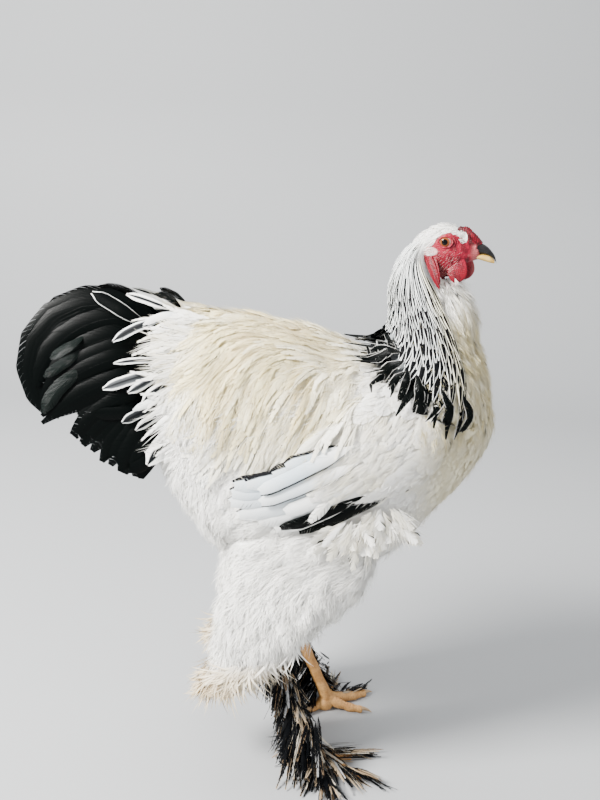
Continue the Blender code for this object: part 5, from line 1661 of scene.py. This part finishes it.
def head_skin():
    """Skull, lids, comb, wattles and earlobes as one skin, in the head's own frame."""
    solid = Solid()
    solid.add_grid(ellipse_rings(SKULL, 64, 56, 2.2, (0.02, 0.985)))
    # Wattle, earlobe and the lobe's fold: top, bottom, half width, thickness, fold, place of its widest part.
    flaps = (
        ((0.0250, 0.0085, -0.0080), (0.0195, 0.0150, -0.0440), 0.0118, 0.0023, 0.0, 0.62),
        ((-0.0185, 0.0160, -0.0110), (0.0010, 0.0275, -0.0520), 0.0052, 0.0015, 0.0024, 0.34),
        ((-0.0112, 0.0165, -0.0135), (0.0006, 0.0258, -0.0450), 0.0038, 0.0013, 0.0014, 0.36),
    )
    for side in (1, -1):
        add_eyelids(solid, side)
        for number, (top, bottom, half, thick, fold, widest) in enumerate(flaps):
            ahead = np.array([0.0030 * side, 0, 0]) * (number == 0)
            ends = (mirrored(p, side) + ahead for p in (top, bottom))
            solid.add_grid(flap_grid(*ends, half, thick, side, fold, widest))
    add_comb(solid)
    return solid.fused(0.00060, 2)


def make_head(white):
    """Flesh of the head with pimples and wrinkles, then eyes, beak and feathers on it."""
    points, triangles, normals = head_skin()
    face = smooth(-0.034, -0.022, points[:, 2]) * smooth(0.031, 0.022, points[:, 0])
    pimple = wobble(points, 1500.0, 31) - 0.5
    wrinkle = wobble(points * (1.0, 1.0, 2.2), 700.0, 32) - 0.5
    rise = face * (0.00050 * pimple + 0.00045 * wrinkle) + (1 - face) * (0.00035 * pimple + 0.0003 * wrinkle)
    to_eye = [np.linalg.norm((points - mirrored(EYE_MIDDLE, side)) / 0.0085, axis=1) for side in (1, -1)]
    points = points + normals * (rise * smooth(0.7, 1.1, np.minimum(*to_eye)))[:, None]
    placed = to_head(points)
    nodes = ["head", "comb", "wattle_left", "wattle_right", "earlobe_left", "earlobe_right"]
    uvs, values = {"OFBake": unwrap(placed)}, {"tint": head_colour(points)}
    piece("head_skin", placed, triangles, flesh_material(), nodes, uvs, values)
    make_eyes()
    make_beak()
    make_head_feathers(points, triangles, surface_tree(points, triangles)).finish(white, "hackle")


def make_head_feathers(points, triangles, tree):
    """Tiny feathers of the crown and the ears, and fine bristles on the cheeks."""
    tiny = kinds(5, vane_shape, 4, fringe, 0.25, 0.4, 0.25, cup=0.15, quads=0)
    hairs = kinds(5, tuft_shape, 3, 0.25, 0.10, bend=0.10)
    crest = kinds(6, tuft_shape, 5, 0.30, 0.075, bend=0.4)
    beard = kinds(6, tuft_shape, 9, 0.50, 0.045, bend=0.6)
    coat = Coat("coat_head")

    def grown(keep, gap):
        return scattered(points, triangles, lambda p: np.full(len(p), gap), keep)

    def add(shapes, paths, half, tint, roots, soft, **more):
        path, normals = paths
        coat.add(shapes, (to_head(path), turn_head(normals)), half, tint, 0, to_head(roots), soft, **more)

    def on_crown(p):
        return (above_edge(p) > 0) & ~on_comb(p) & (p[:, 2] > -0.030)

    def on_ear(p):
        return (ear_distance(p) < 1) & (np.abs(p[:, 1]) > 0.008)

    def on_cheek(p):
        x, z, wide = p[:, 0], p[:, 2], np.abs(p[:, 1])
        below_eye = (z < -0.006) & (z > -0.037) & (x > -0.010) & (x < 0.022 + 0.35 * (z + 0.008))
        return below_eye & (wide > 0.006) & (wide < 0.0195)

    def back(p, over):
        apart = 0.35 * np.sign(p[:, 1]) * smooth(0.002, 0.012, np.abs(p[:, 1]))
        way = vec(-1.0, apart, -0.25 - 0.5 * smooth(-0.01, -0.035, p[:, 0]))
        return way + rng.normal(size=way.shape) * 0.12

    def cheek_way(p, over):
        return np.array([-1.0, 0.0, -0.85]) + rng.normal(size=p.shape) * 0.15

    roots = grown(on_crown, 0.0012)
    n = len(roots)
    length = (0.0060 + 0.0085 * smooth(0.015, -0.030, roots[:, 0])) * rng.uniform(0.8, 1.2, n)
    ridge = smooth(0.012, 0.006, np.abs(roots[:, 1])) * smooth(-0.015, 0.004, roots[:, 0])
    height = 0.0012 + 0.0022 * ridge + 0.0005 * rng.random(n)
    paths = lie_paths(tree, roots, back, length, height, steps=4, hold=0.9)
    tufted = rng.random(n) < 0.55
    add(tiny, paths, 0.0014, WHITE, roots, 0.4, where=~tufted)
    add(crest, paths, 0.0034, WHITE, roots, 0.4, where=tufted)

    roots = grown(on_ear, 0.0009)
    n = len(roots)
    paths = lie_paths(tree, roots, back, np.full(n, 0.0060), np.full(n, 0.0022), steps=4, hold=0.9)
    add(hairs, paths, 0.0020, WHITE, roots, 0.5)

    roots = grown(on_cheek, 0.0018)
    n = len(roots)
    length = rng.uniform(0.003, 0.006, n)
    paths = lie_paths(tree, roots, cheek_way, length, np.full(n, 0.0008), steps=4, hold=0.9)
    add(hairs, paths, 0.0008, np.array([0.72, 0.40, 0.36]), roots, 0.5)

    n = 150
    share = rng.random(n)
    x = -0.004 + 0.020 * share + rng.normal(size=n) * 0.002
    roots = vec(x, rng.uniform(-0.016, 0.016, n), -0.036 - 0.012 * (1 - share))
    ways = strayed(vec(0.25 + 0.45 * share, roots[:, 1] * 22, -1.0), 0.2)
    over = unit(vec(0.7, roots[:, 1] * 60, 0.2))
    length = rng.uniform(0.010, 0.017, n)[:, None, None]
    path = roots[:, None] + ways[:, None] * np.linspace(0, 1, 5)[None, :, None] * length
    tint = mix(WHITE, np.array([0.80, 0.48, 0.44]), 0.5 * rng.random(n))
    add(beard, (path, np.repeat(over[:, None], 5, 1)), 0.0060, tint, roots, 0.4)
    return coat


def make_eyes():
    material = eye_material()
    around, rows = 56, 40
    low, turn = np.linspace(0.0, math.pi * 0.62, rows)[:, None], circle(around)[None]
    for name, side in SIDES.items():
        ball = vec(np.sin(low) * np.cos(turn), side * np.cos(low), np.sin(low) * np.sin(turn))
        points = (mirrored(EYE_MIDDLE, side) + ball * EYE_RADII - (0, side * 0.0008, 0)).reshape(-1, 3)
        distance = np.hypot(ball[..., 0] * EYE_RADII[0] + 0.0008, ball[..., 2] * EYE_RADII[2]) / 0.0075
        faces = triangulated(grid_faces(rows, around, caps=False))[:, ::-side]
        values = {"ring": distance.ravel()}
        piece(f"eye_{name}_ball", to_head(points), faces, material, [f"eye_{name}"], values=values)


def make_beak():
    for name, rows, power, slot, dark, light, roughness in (
        ("upper_beak", UPPER_BEAK, 2.1, "dark_horn", (0.0025, 0.0025, 0.003), (0.014, 0.012, 0.012), 0.25),
        ("lower_beak", LOWER_BEAK, 2.0, "horn", (0.50, 0.29, 0.05), (0.62, 0.44, 0.15), 0.38),
    ):
        points = to_head(ellipse_rings(rows, 44, 40, power).reshape(-1, 3))
        faces = triangulated(grid_faces(44, 40))
        piece(f"{name}_horn", points, faces, horn_material(name, dark, light, roughness), [name])


# Camera, light and floor

def make_camera():
    """The photograph's view: a long lens a little above the bird, tilted down and slightly rolled."""
    data = bpy.data.cameras.new("camera")
    data.sensor_width = 36.0
    data.lens = 1095 / 800 * 36.0
    data.clip_start = 0.05
    data.clip_end = 30
    camera = bpy.data.objects.new("camera", data)
    bpy.context.scene.collection.objects.link(camera)
    pitch, roll = math.radians(15.7), math.radians(2.8)
    ahead = Vector((0, math.cos(pitch), -math.sin(pitch)))
    over = Vector((0, math.sin(pitch), math.cos(pitch)))
    right = Vector((1, 0, 0))
    x_axis = right * math.cos(roll) + over * math.sin(roll)
    y_axis = over * math.cos(roll) - right * math.sin(roll)
    turn = Matrix((x_axis, y_axis, -ahead)).transposed()
    camera.matrix_world = Matrix.Translation(Vector((-0.03, -1.31, 0.84)) + Vector(SHIFT)) @ turn.to_4x4()
    bpy.context.scene.camera = camera


def make_light():
    world = bpy.data.worlds.new("studio")
    world.use_nodes = True
    background = world.node_tree.nodes["Background"]
    background.inputs[0].default_value = (0.93, 0.95, 0.98, 1)
    background.inputs[1].default_value = 1.28
    bpy.context.scene.world = world
    for name, place, size, power, colour in (
        ("key", (-1.85, -1.15, 2.0), 0.9, 430, (1.0, 0.985, 0.955)),
        ("fill", (1.6, -1.8, 0.9), 2.0, 3, (0.90, 0.94, 1.0)),
        ("top", (-0.4, 0.9, 2.4), 1.6, 40, (1.0, 0.99, 0.97)),
    ):
        data = bpy.data.lights.new(name, "AREA")
        data.size = size
        data.energy = power
        data.color = colour
        lamp = bpy.data.objects.new(name, data)
        bpy.context.scene.collection.objects.link(lamp)
        lamp.location = place
        lamp.rotation_mode = "QUATERNION"
        lamp.rotation_quaternion = (Vector((0.05, 0, 0.35)) - Vector(place)).to_track_quat("-Z", "Y")


def make_floor():
    """A pale floor that curves up into a backdrop."""
    depth, high, wide, bend = 1.6, 3.0, 5.0, 0.8
    profile = [(-4.0, 0.0), (depth, 0.0)]
    for k in range(1, 9):
        angle = math.pi / 2 * k / 8
        profile.append((depth + bend * math.sin(angle), bend - bend * math.cos(angle)))
    profile.append((depth + bend, high))
    mesh = bpy.data.meshes.new("floor")
    faces = [(2 * i, 2 * i + 1, 2 * i + 3, 2 * i + 2) for i in range(len(profile) - 1)]
    mesh.from_pydata([(x, y, z) for y, z in profile for x in (-wide, wide)], [], faces)
    mesh.shade_smooth()
    mesh.materials.append(floor_material())
    floor = bpy.data.objects.new("floor", mesh)
    bpy.context.scene.collection.objects.link(floor)


def make_all():
    make_camera()
    make_light()
    make_floor()
    white = feather_material("white", (0.006, 0.007, 0.008), 0.62, 0.15, 0.5, sheen=0.10, scatter=0.35)
    black = feather_material("black", (0.0003, 0.0008, 0.0007), 0.34, 0.25, 0.2, gloss=0.05)
    striped = feather_material("striped", (0.0012, 0.0015, 0.0020), 0.55, 0.1, 0.14, gloss=0.05)
    laced = feather_material("laced", (0.002, 0.0025, 0.003), 0.50, 0.2, 0.22, gloss=0.06, grey=0.45)
    quill = feather_material("quill", (0.002, 0.002, 0.003), 0.58, 0.2, 0.2, gloss=0.10, sheen=0.04)
    # The lighter green ink of these feathers is painted sheen.
    sheen_painted = feather_material("sheen_painted", (0.0010, 0.0034, 0.0026), 0.36, 1.0, 0.2, gloss=0.14)
    points, triangles = body_skin()
    tree = surface_tree(points, triangles)
    uvs, values = {"OFBake": unwrap(points)}, {"tint": skin_tint(points)}
    nodes = ["torso", "thigh_left", "thigh_right"]
    piece("skin", points, triangles, skin_material(), nodes, uvs, values)
    for coat in make_body(tree, points, triangles):
        coat.finish(white, "plumage")
    make_tufts().finish(white, "plumage")
    make_hackle().finish(striped, "hackle", ["neck"])
    make_cape().finish(black, "black_feather", ["cape_left", "cape_right"])
    make_throat(tree, points, triangles).finish(white, "plumage")
    make_shoulder_feathers(tree).finish(black, "black_feather", ["cape_left", "cape_right"])
    make_saddle(tree).finish(white, "plumage")
    scales = scale_material()
    claws = horn_material("claw", (0.34, 0.22, 0.12), (0.52, 0.38, 0.24), 0.4)
    black_ones = TAIL_COVERTS[:, 5] > 0.9
    for name, side in SIDES.items():
        make_primaries(side, name).finish(black, "black_feather", [f"primaries_{name}"])
        make_quills(side, name).finish(quill, "wing", [f"wing_{name}"])
        make_wing_coverts(side, name).finish(white, "wing", [f"wing_{name}"])
        make_tail(side, name).finish(black, "black_feather", ["tail"])
        # The glossier part's lighter green colour is painted sheen.
        for rows, part, layer, material in (
            (TAIL_SHEEN_PAINTED, "gloss", 0.0126, sheen_painted),
            (TAIL_COVERTS[black_ones], "dark_coverts", 0.0152, black),
            (TAIL_COVERTS[~black_ones], "coverts", 0.0150, laced),
        ):
            make_tail_coverts(side, name, rows, part, layer).finish(material, "black_feather", ["tail"])
        make_rump(side, name).finish(white, "plumage")
        points, triangles, _ = leg_skin(side, name)
        nodes = [f"shank_{name}", f"foot_{name}"]
        piece(f"leg_{name}", points, triangles, scales, nodes, {"OFBake": unwrap(points)})
        make_claws(side, name, claws)
        make_leg_feathers(side, name).finish(striped, "leg_feather")
    make_head(white)


make_all()
